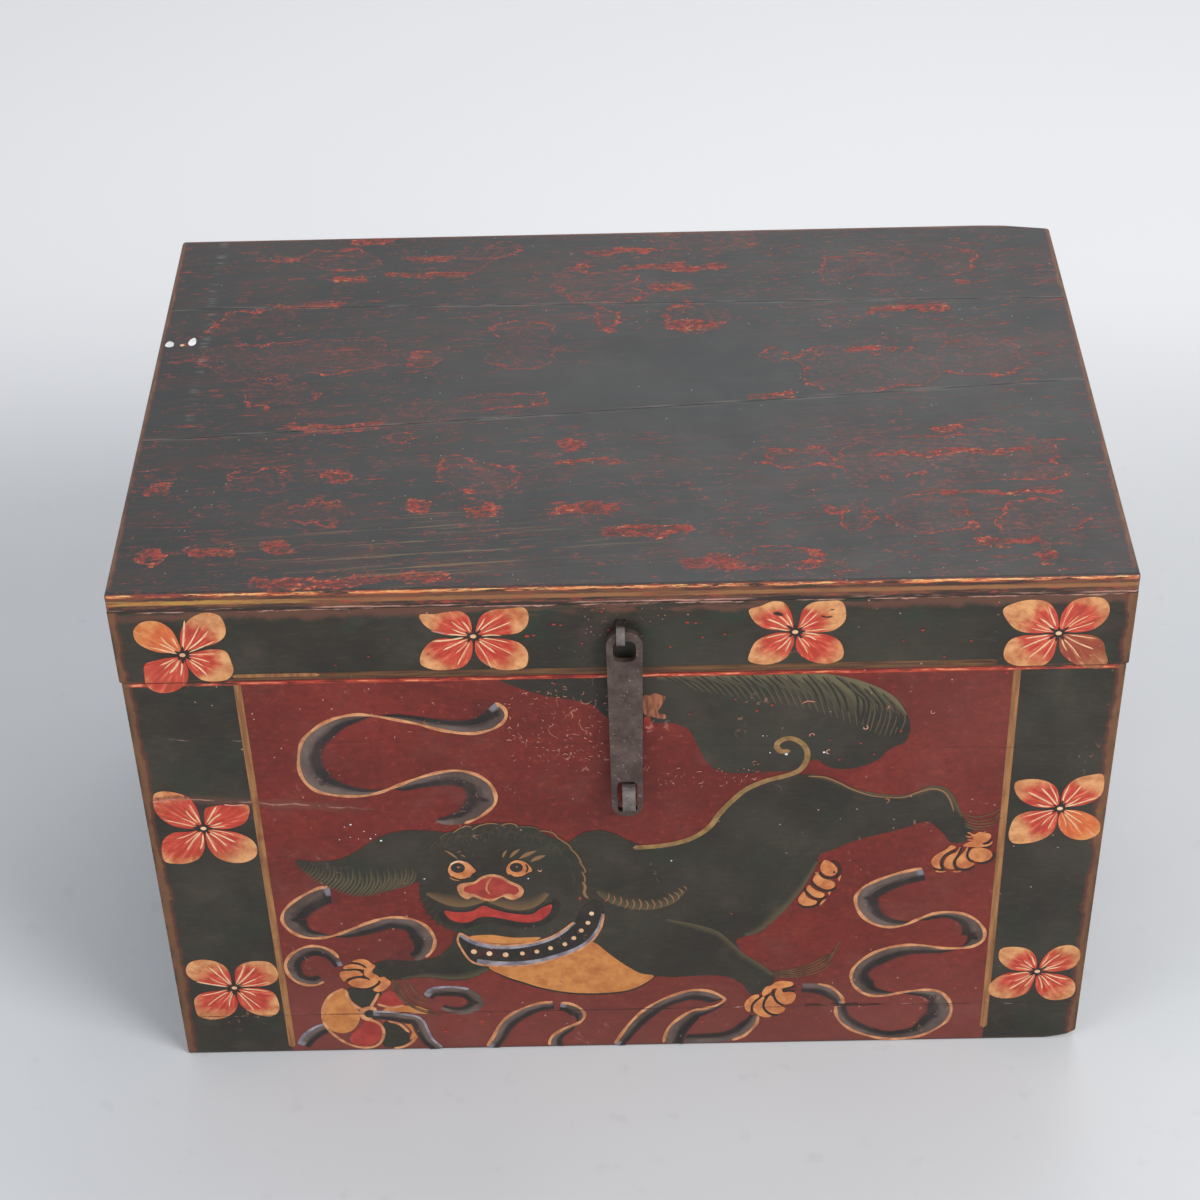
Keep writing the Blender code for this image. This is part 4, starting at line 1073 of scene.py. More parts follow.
# %% Ribbon lines
UPPER_RIBBON = [
    (-77, 311, -13), (-72, 306, -15), (-71, 300, -16), (-74, 294, -15), (-80, 289.5, -14), (-90, 286.5, -12.5),
    (-100, 287, -11), (-112, 290, -9), (-125, 295, -6.5), (-137, 298.5, -5), (-150, 302, 0), (-160, 303.5, 6),
    (-170, 302, 9), (-180, 298, 12.5), (-190, 290, 14.5), (-196, 282, 15), (-199, 270, 15), (-199.5, 258, 17),
    (-197, 249, 19), (-191, 241.5, 18), (-183, 238, 15), (-170, 236, 10), (-160, 236.5, 6), (-150, 239.5, 2),
    (-145, 242, 0), (-140, 244.5, -5.5), (-128, 250, -9), (-115, 254.5, -12), (-103, 256, -14), (-92, 252.5, -15.5),
    (-84, 245, -18), (-80.5, 235, -19), (-81, 228, -19), (-86, 221, -18), (-93, 215, -15), (-101, 211, -12.5),
    (-108, 210, -10.5), (-114, 210.5, -8), (-118.5, 212.5, -4),
]
LEFT_RIBBON = [
    (-190, 157, 15), (-196, 156.5, 16), (-205, 151.5, 16), (-214, 144.5, 16.5), (-221, 136, 17), (-223, 128, 17.5),
    (-221, 121, 17), (-215, 114, 14), (-207, 110.5, 9), (-198, 110.5, 5), (-192, 112, 0), (-186, 114.5, -5),
    (-178, 118.5, -8.5), (-167, 124, -11), (-155, 128, -11), (-147, 128, -11.5), (-137, 125, -13),
    (-130, 118.5, -15.5), (-126, 108, -16), (-126.5, 101, -15), (-129, 95, -13), (-133, 90, -11), (-139, 86.5, -9),
]
LEFT_START = [(-190, 155), (-186.5, 153), (-183.5, 148.5), (-184, 144), (-188, 141.5), (-193, 141)]
UPPER_START = [
    (-91, 311), (-89, 314), (-84.5, 313.5), (-79, 311), (-75, 305), (-78, 297), (-86, 296), (-91, 299), (-90.5, 305),
]
LEFT_END = [
    (-141, 113), (-140.5, 105), (-146, 99), (-153, 93.5), (-160, 88), (-150, 85), (-138, 86), (-131, 92),
    (-128.5, 102), (-133, 111),
]
SMALL_CURL = [
    (-187.5, 84, 6), (-189.5, 91, 7), (-193, 97, 8), (-199, 101.5, 9), (-206, 103, 9.5), (-213, 101, 10),
    (-221, 94.5, 10.5), (-225, 86, 11), (-224, 77, 10.5), (-220, 70, 9.5), (-213, 66, 9), (-206, 66, 8.5),
    (-201, 69, 8),
]
RIGHT_RIBBON = [
    (187, 164, 12), (178, 161.5, 12), (168, 158, 13), (158, 153, 14), (150, 147, 15), (146, 139, 14.5),
    (147, 130, 15), (151, 121, 14), (159, 113.5, 12), (169, 110.5, 9), (178, 112, 4.5), (185, 116, 0),
    (190, 119, -3.5), (196, 122, -5), (206, 123.5, -6), (217, 121, -9), (226, 114, -13), (231, 104, -17),
    (230, 96, -18), (224, 91, -10), (215, 89.5, 0), (204, 90, 5), (193, 92.5, 8), (182, 93.5, 10), (170, 91.5, 12),
    (159, 86, 13), (150, 77, 12), (146, 68, 12), (147, 58, 13), (151, 51.5, 13), (154, 48.5, 12), (160, 45.5, 9),
    (168, 45, 6), (178, 47.5, 0), (188, 49.5, -5), (197, 50, -9), (205, 48, -14), (211, 41, -17), (214, 31, -17.5),
    (212, 20, -18), (205, 11.5, -17), (194, 4.5, -12), (182, 2.2, -9), (170, 2.5, -8), (158, 6.5, -9),
    (147, 13, -9.5), (140, 21, -9), (137, 30, -8), (137, 36, -7),
]
RIGHT_TAIL = [(142, 37, 5), (141, 43, 7), (138, 49, 9), (132, 55, 10), (124, 58, 10), (114, 58.5, 9)]
GREY_SPIRAL = [
    (-136, 54, -7), (-131, 59.5, -8), (-118, 61.5, -9.5), (-106, 59, -10), (-99, 52, -10.5), (-97, 45, -11),
    (-101, 38, -11), (-109, 34.5, -9), (-118, 35.5, -7), (-126, 40, -5),
]
LOW_WAVE = [
    (-97, 2, -8), (-92, 12, -9), (-87, 24, -10), (-80, 33, -10), (-70, 40, -9), (-60, 44, -8), (-51, 45, -7),
]
LOW_TURN = [
    (-46, 44, -8), (-40, 43, -9), (-33.5, 38.5, -10), (-30.5, 32.5, -9), (-32, 26.5, -6), (-36, 23, 0), (-40, 21, 4),
    (-50, 14, 7), (-54, 8, 9), (-55, 2, 10),
]
LOW_LOOP = [
    (-11, 2, -7), (-6, 12, -8), (0, 23, -9), (8, 34, -9.5), (18, 43, -9), (30, 50, -9), (42, 54, -10),
    (53, 52.5, -11), (60, 48, -9), (63, 44.5, 0), (58, 39, 3), (50, 36, 6), (42, 34, 9), (33, 27, 12), (26, 18, 14),
    (23, 9, 14), (22, 2.5, 14),
]
LOW_END = [
    (30, 1.5, 9), (44, 1.5, 9.5), (58, 2, 10), (68, 3.5, 11), (76, 8, 11.5), (81, 14, 11), (84.5, 20.5, 9.5),
    (85.5, 28, 6),
]
CORNER_RIBBON = [(-224, 8, -9), (-218, 18, -10), (-210, 25, -10), (-204, 27.5, -9)]
BALL_RIBBON = [
    (-171, 39, -8), (-160, 38, -8.5), (-150, 35.5, -9), (-142, 33, -9), (-138, 28, -9), (-136, 20, -9),
    (-133, 10, -8), (-127, 2, -7),
]

# %% Draw the ribbons
LINE_WIDTH = 2.2
HAND = [0.9, 1.2, 0.8, 1.1, 0.7, 1.15]
RIBBONS = {
    "ribbon_upper_left": [(UPPER_RIBBON, PEACH, 0, 3)],
    "ribbon_left": [(LEFT_RIBBON, PEACH, 0, 1), (SMALL_CURL, PEACH, 1, 0)],
    "ribbon_right": [(RIGHT_RIBBON, PEACH, 0, 0), (RIGHT_TAIL, PEACH, 0, 1)],
    "ribbon_low": [
        (GREY_SPIRAL, LINE_GREY, 0, 6), (LOW_WAVE, PEACH, 0, 0), (LOW_TURN, PEACH, 0, 0), (LOW_LOOP, PEACH, 0, 0),
        (LOW_END, PEACH, 3, 0), (CORNER_RIBBON, LINE_GREY, 0, 0),
    ],
}
RIBBON_ENDS = {"ribbon_left": (LEFT_END, LEFT_START), "ribbon_upper_left": (UPPER_START,)}


def ribbon(coat, points, line_finish, skip_start, skip_end, lift):
    """The band, and its line without its first and last few points."""
    coat.band(points, RIBBON, lift)
    drawn = points[skip_start : len(points) - skip_end]
    line = [(x, z, HAND[i % len(HAND)]) for i, (x, z, _) in enumerate(drawn)]
    coat.stroke(line, LINE_WIDTH, line_finish, lift + 0.03)


for name, parts in RIBBONS.items():
    coat = Coat(name)
    for i, part in enumerate(parts):
        ribbon(coat, *part, 0.10 + 0.012 * (i % 2))
    for end in RIBBON_ENDS.get(name, ()):
        coat.patch(end, RIBBON, 0.09)
    coat.done("trunk", "black_paint", FIELD_SPAN)

# %% [markdown]
# ## Plume
# The lion's tail ends in a great black plume that reaches up to the lid and is combed with olive strokes. The strokes
# fan out from the top edge and grow longer towards the right.

# %% Plume
PLUME = [
    (-76, 331), (-60, 321), (-45, 315), (-30, 311.5), (-18, 307), (-12, 299), (-2, 293), (10, 291.5), (22, 292),
    (31, 291), (38.5, 286.5), (42.5, 278), (46.3, 268), (51.5, 257), (60, 250.6), (75, 249.3), (90, 250), (103, 251),
    (111, 257), (117, 259.5), (121, 256), (126, 252.5), (133, 251), (142.5, 252), (155, 258.5), (159.5, 264.5),
    (163, 268), (170.5, 272.5), (173, 281), (172, 291), (167.5, 302), (160.5, 311), (152.5, 317), (140, 323.3),
    (124, 328), (100, 332), (20, 334), (-60, 334),
]
BARED_PATCH = [
    (12.5, 315), (15.5, 314), (18, 316), (22, 314.5), (25, 313), (22.5, 306), (20.5, 300), (25, 298.5), (25, 295.5),
    (20.5, 296), (17.5, 297), (12.5, 299),
]
plume = Coat("lion_plume")
plume.patch(PLUME, LION_BLACK, 0.10)
plume.band([(20, 330, -5), (50, 331, -10), (80, 331, -17), (105, 330, -24), (124, 328, -33), (140, 323.3, -38),
            (152.5, 317, -36), (160.5, 311, -27), (166, 304, -15), (170.5, 295, -4)], PLUME_OLIVE, 0.13, 6)
for roots, tips, count, wide, finish, lift, bow in (
    ([(24, 329), (60, 330), (90, 330), (122, 328)],
     [(34, 321), (71, 314), (105, 308), (135, 298)], 24, 1.7, DARK_HAIR, 0.16, 0.06),
    ([(27, 329), (62, 330), (92, 330), (124, 328)],
     [(44, 317), (80, 308), (114, 299), (141, 286)], 24, 1.3, LIGHT_HAIR, 0.165, 0.08),
    ([(126, 327), (136, 323.5), (146, 319), (158, 312)],
     [(141, 292), (148, 286), (155, 282), (165, 284)], 9, 1.7, DARK_HAIR, 0.16, 0.16),
    ([(129, 326), (139, 322), (149, 317), (160, 310)],
     [(144, 286), (151, 280), (158, 277), (167, 280)], 9, 1.5, LIGHT_HAIR, 0.165, 0.17),
):
    plume.comb(roots, tips, count, wide, finish, lift, bow)
plume.patch(BARED_PATCH, BARED, 0.19)
plume.patch([(12.5, 297), (15, 297.5), (16.5, 293), (18.5, 288), (15, 286), (12.5, 287.5)], RED_CHIP, 0.2)
plume.done("trunk", "black_paint", FIELD_SPAN)

# %% [markdown]
# ## Lion
# The lion is one flat black silhouette with soft olive edges, an ochre back line that ends in the curl of the tail,
# an ochre chest and peach toes. First come the far leg and the body, then what overlaps them.

# %% Body
BODY = [
    (-30, 183), (4, 187), (15, 187.5), (30, 190), (42, 195), (52, 204), (58, 215), (65, 225), (75, 236), (88, 243),
    (100, 247), (112, 247), (120, 246), (132, 240), (145, 233), (158, 229.5), (172, 228), (180, 231), (188, 235.5),
    (196, 234.5), (202, 228), (206, 219), (209, 210), (213, 203), (217, 196), (213, 187), (204, 186), (200, 192),
    (194, 200), (188, 205), (175, 200), (160, 195), (145, 190), (130, 182), (122, 178), (120, 168), (113, 150),
    (105, 135), (95, 120), (85, 108), (75, 104), (70, 101), (75, 88), (88, 76), (96, 67), (92, 56), (82, 48),
    (78, 52), (75, 58), (65, 66), (50, 68), (30, 67), (16, 68), (0, 64), (-40, 72), (-85, 84), (-60, 110), (-30, 140),
]
BACK = BODY[1:11]
LEFT_ARM = [
    (-168, 84), (-158, 88.5), (-146, 87.5), (-134, 88), (-124, 92), (-116, 101), (-111, 112), (-100, 100), (-94, 88),
    (-88, 81), (-93, 76), (-103, 70), (-116, 67.5), (-134, 71), (-150, 69.5), (-162, 70), (-168, 76),
]
body = Coat("lion_body")
body.patch(BODY, LION_BLACK, 0.14)
body.patch(LEFT_ARM, LION_BLACK, 0.14)
body.band([(-150, 70, 2), (-134, 71.5, 5), (-116, 68.5, 7), (-103, 70.5, 8), (-92, 77, 6)], OLIVE_EDGE, 0.16)
body.band([(25, 122, -3), (45, 116, -6), (58, 109.5, -6), (67, 99, -5), (75, 88.5, -6), (88, 76.5, -6), (95, 68, -4)],
          OLIVE_EDGE, 0.165)
body.band([(121, 171, -3), (113, 150, -5), (105, 135, -6), (95, 120, -8), (85, 108.5, -7), (76, 104.5, -4)],
          OLIVE_EDGE, 0.16)
body.band([(113, 247, -3), (120, 246, -4), (132, 240, -4), (145, 233, -4), (158, 229.5, -4), (172, 228, -4),
           (180, 231, -5), (188, 235.5, -6), (196, 234.5, -7), (202, 228, -6), (206, 219, -5), (210, 209, -3)],
          OLIVE_EDGE, 0.16)
body.stroke([*BACK, (107, 251), (111, 259), (111, 267), (107, 274), (100, 277.5), (94, 275), (92.5, 271),
             (95, 267), (101, 267)], 3.6, BACK_OCHRE, 0.20, 0.5)
body.stroke([(112, 245.5, 0.7), (122, 244.6, 1.0), (131, 240, 1.0), (140.5, 233.5, 0.9), (152, 228.3, 0.7),
             (163, 226.4, 0.6), (172, 226.2, 0.7), (181, 230.4, 1.0), (190, 233, 1.1), (197, 230, 1.0),
             (201, 223, 0.8), (204, 213, 0.6)], 2.2, TAN_HAIR, 0.19, 3)
body.stroke([(-92, 79), (-80, 69), (-70, 64), (-60, 59.2), (-48, 55.2), (-35, 52.7), (-18, 52.2), (-2, 54.3),
             (8, 59.4), (17, 68)], 1.6, BLACK_LINE, 0.185, 2)
body.done("trunk", "black_paint")

# %% Hair on the heels
HEEL_HAIR = [
    [(209.5, 211), (219, 208), (228, 211), (233.5, 215.5)], [(210, 208), (220, 204.5), (229, 207), (234, 212)],
    [(210.5, 205.5), (220, 202), (229, 203.5), (234, 207)], [(211, 203), (219, 199.5), (228, 200.5), (233, 203.5)],
    [(211, 201), (218, 197.5), (226, 197.5)], [(92, 70), (106, 72), (120, 78), (130, 86)],
    [(93, 69), (108, 70.5), (123, 77), (133, 88)], [(94, 68), (110, 69), (126, 76.5), (136, 92)],
    [(95, 66.5), (112, 67.5), (128, 76), (138, 101)], [(95, 65.5), (110, 65.5), (125, 70), (134, 80)],
    [(-156, 71), (-155, 58), (-150, 48), (-140, 39), (-126, 33.5)],
    [(-152.5, 70), (-151, 58), (-145.7, 49), (-137.7, 42), (-131, 38)],
    [(-149, 70), (-147, 58), (-142, 51), (-134, 43.5)], [(-146, 70.5), (-143.4, 60.5), (-139, 53.6), (-133, 48)],
    [(-154, 70), (-153, 57), (-148, 47), (-139, 40), (-129, 36)],
]
hair = Coat("lion_heel_hair")
for i, line in enumerate(HEEL_HAIR):
    hair.stroke(line, 1.05, OLIVE_ON_RED, 0.20 + 0.006 * (i % 3), 8)
hair.done("trunk", "black_paint")

# %% Chest
CHEST = [
    (-92, 80), (-80, 70), (-70, 65), (-60, 60), (-48, 56), (-35, 53.5), (-18, 53), (-2, 55), (8, 60), (16, 68.5),
    (8, 71), (0, 77), (-8, 85), (-15, 93), (-22, 101), (-30, 104), (-50, 92), (-75, 84),
]
chest = Coat("lion_chest")
chest.patch(CHEST, CHEST_OCHRE, 0.19)
chest.done("trunk", "red_paint")

# %% Ears and head
LEFT_EAR = [
    (-209, 181.5), (-195, 180), (-180, 182.5), (-170, 189), (-160, 197), (-150, 203), (-138, 206), (-125, 205.5),
    (-112, 202), (-108, 180), (-122, 164), (-132, 160), (-145, 157), (-160, 152), (-172, 150), (-185, 155),
    (-198, 165), (-206, 174),
]
RIGHT_EAR = [
    (-42, 186), (-35, 194), (-30, 199), (-20, 203), (-8, 200), (2, 193), (14, 186), (30, 170), (38, 155), (38, 147),
    (31, 137), (18, 131), (5, 131), (-8, 136), (-18, 145), (-24, 157),
]
HEAD = [
    (-113, 202), (-100, 208.5), (-88, 211), (-75, 210.5), (-60, 206), (-47, 198), (-37, 190), (-31, 180), (-28, 170),
    (-27, 158), (-27, 145), (-30, 133), (-35, 121), (-43, 113), (-52, 106.5), (-65, 102), (-78, 100.5), (-90, 102),
    (-100, 106), (-110, 113), (-118, 118), (-123, 123), (-128, 130), (-131, 140), (-133, 150), (-131, 166),
    (-126, 184), (-120, 196),
]
head = Coat("lion_head")
head.patch(LEFT_EAR, LION_BLACK, 0.15)
head.comb([(-207, 182), (-187, 179), (-162, 177), (-134, 178)],
          [(-210, 176), (-198, 161), (-174, 147.5), (-140, 156)], 34, 2.0, OLIVE_HAIR, 0.17, 0.13)
head.patch(RIGHT_EAR, LION_BLACK, 0.20)
head.band([(-20, 148, 5), (-17, 143, 9), (-8, 136, 11), (5, 131.5, 11), (18, 131.5, 11), (30, 137, 9), (37, 147, 5)],
          OLIVE_EDGE, 0.22, 3)
head.comb([(-12, 147), (4, 142), (20, 142), (30, 149), (35, 153)],
          [(-15, 139), (0, 131.8), (16, 131), (31, 138), (37.5, 148)], 14, 2.5, TAN_HAIR, 0.235, 0.15)
head.patch(HEAD, LION_BLACK, 0.25)
head.comb([(-124, 186), (-104, 193), (-79, 196), (-57, 191), (-42, 179)],
          [(-118, 197), (-101, 204.5), (-80, 207), (-57, 202), (-39, 188)], 17, 2.6, FAINT_HAIR, 0.258, 0.12)
head.comb([(-127, 147), (-121, 131), (-110, 119.5), (-92, 113), (-72, 111), (-52, 114), (-40, 124), (-35, 140)],
          [(-134.5, 143), (-127.5, 124), (-114, 113), (-94, 104.5), (-73, 102.5), (-50, 107), (-33.5, 121),
           (-27, 139)], 24, 2.4, FAINT_HAIR, 0.258, 0.14)
head.done("trunk", "black_paint")

# %% Curls round the head
CURLS = [
    [(-117.5, 197.5), (-115.5, 200.5), (-110, 204)], [(-109, 202.5), (-104, 207), (-99, 208.8), (-96.5, 207)],
    [(-97, 205), (-92, 208.8), (-84.5, 210.8), (-79.5, 209.6)], [(-79, 208.5), (-73, 210.4), (-69, 209), (-68, 206)],
    [(-68.5, 207.5), (-62, 207.2), (-56, 205.6), (-54, 202)],
    [(-55, 203.5), (-50, 203), (-45.6, 201), (-42.6, 195.5)], [(-44, 198), (-40, 194), (-36.5, 190.5), (-34.5, 187)],
    [(-36, 188), (-32, 182.5), (-29.4, 176), (-29, 173)],
    [(-30.5, 176), (-27.6, 170.5), (-26.6, 166.5), (-29, 165.5)], [(-29, 167), (-27, 161), (-27.4, 157), (-29, 155)],
]
FAINT_CURLS = [
    [(-121, 190), (-117, 194), (-112, 195)], [(-108, 196), (-103, 200), (-97, 200)],
    [(-93, 200), (-88, 203.5), (-82, 202.5)], [(-77, 202), (-71, 203), (-66, 200)],
    [(-62, 199.5), (-57, 199), (-53, 195)], [(-49, 193), (-44, 190), (-42, 185)],
    [(-40, 182), (-36.5, 177), (-36, 171)], [(-36, 166), (-33.5, 160), (-35, 155)],
]
curls = Coat("lion_curls")
for i, line in enumerate(CURLS):
    curls.stroke(line, 1.5, LIGHT_HAIR if i in (0, 4) else TAN_HAIR, 0.30, 2.5)
for line in FAINT_CURLS:
    curls.stroke(line, 2.0, FAINT_HAIR, 0.30, 2.5)
curls.stroke([(-28.5, 158), (-27, 153), (-27.8, 147.5), (-25.5, 142)], 3.0, TAN_HAIR, 0.32, 1.5)
curls.stroke([(-30.5, 144), (-30.8, 141)], 2.0, RED_CHIP, 0.32, 1.0)
curls.done("trunk", "black_paint")

# %% [markdown]
# ## Face
# The face is drawn with very few shapes: round eyes with a black ring, a broad red nose in a peach outline, an olive
# lip in two lobes, a red mouth and an ochre chin.

# %% Eyes, nose and mouth
BROW = ([0, 0.25, 0.5, 0.8, 1], [0.2, 0.8, 1.0, 0.6, 0.0])
NOSE = [
    (-108.4, 151.3), (-108.4, 156), (-105.6, 158.2), (-97.2, 159.7), (-93.3, 163.6), (-86.7, 165.9), (-80, 164.2),
    (-74.4, 159.2), (-69, 155.8), (-66.3, 151.3), (-67.8, 145.8), (-73.3, 142.4), (-77.6, 144), (-79.6, 145.4),
    (-86.7, 141.6), (-93.3, 143), (-98.9, 145.8), (-102.8, 143.8), (-106.7, 146.9),
]
NOSE_INSIDE = [
    (-104.5, 151.3), (-103.9, 154.7), (-96.7, 157.8), (-92.8, 161.3), (-86.7, 163.6), (-80.6, 161.9), (-75, 156.9),
    (-70, 153.6), (-69.3, 150.2), (-72.2, 147), (-76.1, 148.2), (-79.5, 147.4), (-82.2, 145.4), (-86.7, 143.9),
    (-93.3, 145.2), (-97.2, 148), (-101.1, 149.1),
]
MOUTH = [
    (-118, 133.5), (-110, 132), (-100, 133), (-93, 137.5), (-86, 134), (-75, 130), (-62, 129), (-56, 134),
    (-49, 137.5), (-50, 131), (-56, 123.5), (-62, 121.5), (-70, 122), (-80, 125), (-90, 127.5), (-97, 126.5),
    (-102, 123), (-108, 122.5), (-115, 126),
]
face = Coat("lion_face")
face.band([(-129, 149, 4), (-122, 142.5, 10), (-114, 138, 12), (-106, 136.6, 12), (-98, 138.4, 10), (-91, 141.5, 6)],
          TAN_EDGE, 0.30, 3)
face.band([(-90, 141, 5), (-84, 137.5, 9), (-77, 134, 12), (-69, 132.6, 13), (-61, 134.6, 12), (-55, 139.5, 9),
           (-50, 147, 5)], TAN_EDGE, 0.305, 3)
face.stroke([(-121, 132), (-117, 124), (-106, 119.5), (-94, 123.5), (-82, 122), (-70, 118.5), (-58, 119.5),
             (-49, 127), (-45.5, 137), (-48, 143)], 4.6, BLACK_LINE, 0.30, 1.5)
face.stroke([*MOUTH, *MOUTH[:2]], 3.4, BLACK_LINE, 0.31, 0.2)
EYES = [
    [(-113.6, 170), (-112, 175), (-107, 178.2), (-101.5, 177), (-98, 173), (-96, 168.8), (-98.2, 167), (-101, 163.6),
     (-106.5, 162.4), (-111.5, 164.5)],
    [(-76.7, 169), (-75, 174.5), (-70, 178), (-65, 176.5), (-61.5, 172.5), (-60.3, 168), (-63, 166.6), (-67, 163.8),
     (-72.5, 163.6), (-75.8, 166)],
]
for i, (outline, pupil, radius) in enumerate(zip(EYES, ((-107.2, 172.2), (-70.2, 171.6)), (4.5, 4.2))):
    face.stroke([*outline, *outline[:2]], 1.8, BLACK_LINE, 0.30, 0.2)
    face.patch(outline, TOE_PEACH, 0.32)
    face.disc(pupil, radius, BLACK_LINE, 0.33)
    face.disc((pupil[0] + 0.3, pupil[1] + 0.6), 0.9 - 0.2 * i, PEACH, 0.345, 0.6)
for line, wide, finish, lift in (
    ([(-112.3, 174.5), (-109.5, 177), (-106, 178), (-102.5, 177)], 1.5, CREAM, 0.345),
    ([(-112, 165), (-109, 162.8), (-106, 161.8)], 1.1, BLACK_LINE, 0.345),
    ([(-113, 164), (-110, 161.6), (-106.5, 160.8)], 0.9, PEACH, 0.335),
    ([(-75, 166), (-72.5, 163.4), (-70, 162.4)], 1.0, BLACK_LINE, 0.345),
    ([(-64.2, 174.5), (-63, 170.5), (-64.4, 166.5)], 1.2, BLACK_LINE, 0.345),
):
    face.stroke(line, wide, finish, lift, 2)
for root, tip, wide in (
    ((-114.5, 188), (-106.5, 179.5), 2.6), ((-105, 184), (-102, 181), 1.6), ((-78.4, 180.5), (-75.2, 187.4), 2.8),
    ((-74, 180.5), (-67, 188), 3.9), ((-68, 179.6), (-56.6, 186), 5.0), ((-61, 176.8), (-51, 181.8), 5.2),
):
    face.leaf(root, tip, wide, BROW, TAN_HAIR, 0.32, 0.5)
face.patch(NOSE, PEACH, 0.32)
face.patch(NOSE_INSIDE, NOSE_RED, 0.335)
face.stroke([(-86, 163.5), (-89, 158), (-90, 152), (-88, 148)], 1.3, PEACH, 0.345, 2)
face.patch(MOUTH, MOUTH_RED, 0.325)
face.patch([(-103, 109), (-90, 110.5), (-75, 107.5), (-57, 107), (-62, 103.6), (-78, 101.8), (-92, 103.6)],
           CHEST_OCHRE, 0.302)
face.done("trunk", "red_paint")

# %% [markdown]
# ## Collar
# A black collar with grey edges, a fine peach outline and a row of cream studs lies over the neck.

# %% Collar
COLLAR_TOP = [(-109.5, 113), (-100, 106), (-90, 102), (-78, 100.5), (-65, 102), (-52, 106.5), (-43, 113), (-35, 121)]
COLLAR_FOOT = [
    (-109, 98), (-104, 87), (-100, 83.5), (-88, 81), (-75, 80.5), (-60, 82.5), (-45, 88), (-32, 95), (-24, 103),
    (-18, 115), (-15.5, 128),
]
STUDS = [
    (-101, 95), (-91, 93), (-80.5, 91.5), (-69.5, 92.5), (-60, 94), (-51, 97), (-41.5, 100.5), (-35.5, 106),
    (-30.5, 113), (-26, 120), (-23.5, 128.5),
]
collar = Coat("lion_collar")
collar.patch([*COLLAR_TOP, (-30, 133), (-21, 141), (-16.5, 136), *COLLAR_FOOT[::-1], (-111, 106)], BLACK_LINE, 0.31)
for line, widths in (
    (COLLAR_TOP, (-2.5, -4.0, -4.2, -3.6, -3.2, -2.8, -2.4, -1.6)),
    (COLLAR_FOOT[2:], (4.6, 4.8, 4.4, 4.2, 3.8, 3.4, 3.0, 2.4, 1.6)),
):
    collar.band([(*place, wide) for place, wide in zip(line, widths)], LINE_GREY, 0.325, 2)
collar.stroke(COLLAR_TOP, 1.5, PEACH, 0.34)
collar.stroke([(-109.5, 113), (-111, 106), *COLLAR_FOOT], 1.5, PEACH, 0.345)
for i, (x, z) in enumerate(STUDS):
    collar.disc((x, z), 1.9 if i < 3 else 1.55, CREAM, 0.345, 1.15)
collar.done("trunk", "black_paint")

# %% [markdown]
# ## Paws
# A paw is a bunch of peach toes, each with its own outline of a few points, and a thick black line is drawn between
# two toes where the upper one throws its shadow.

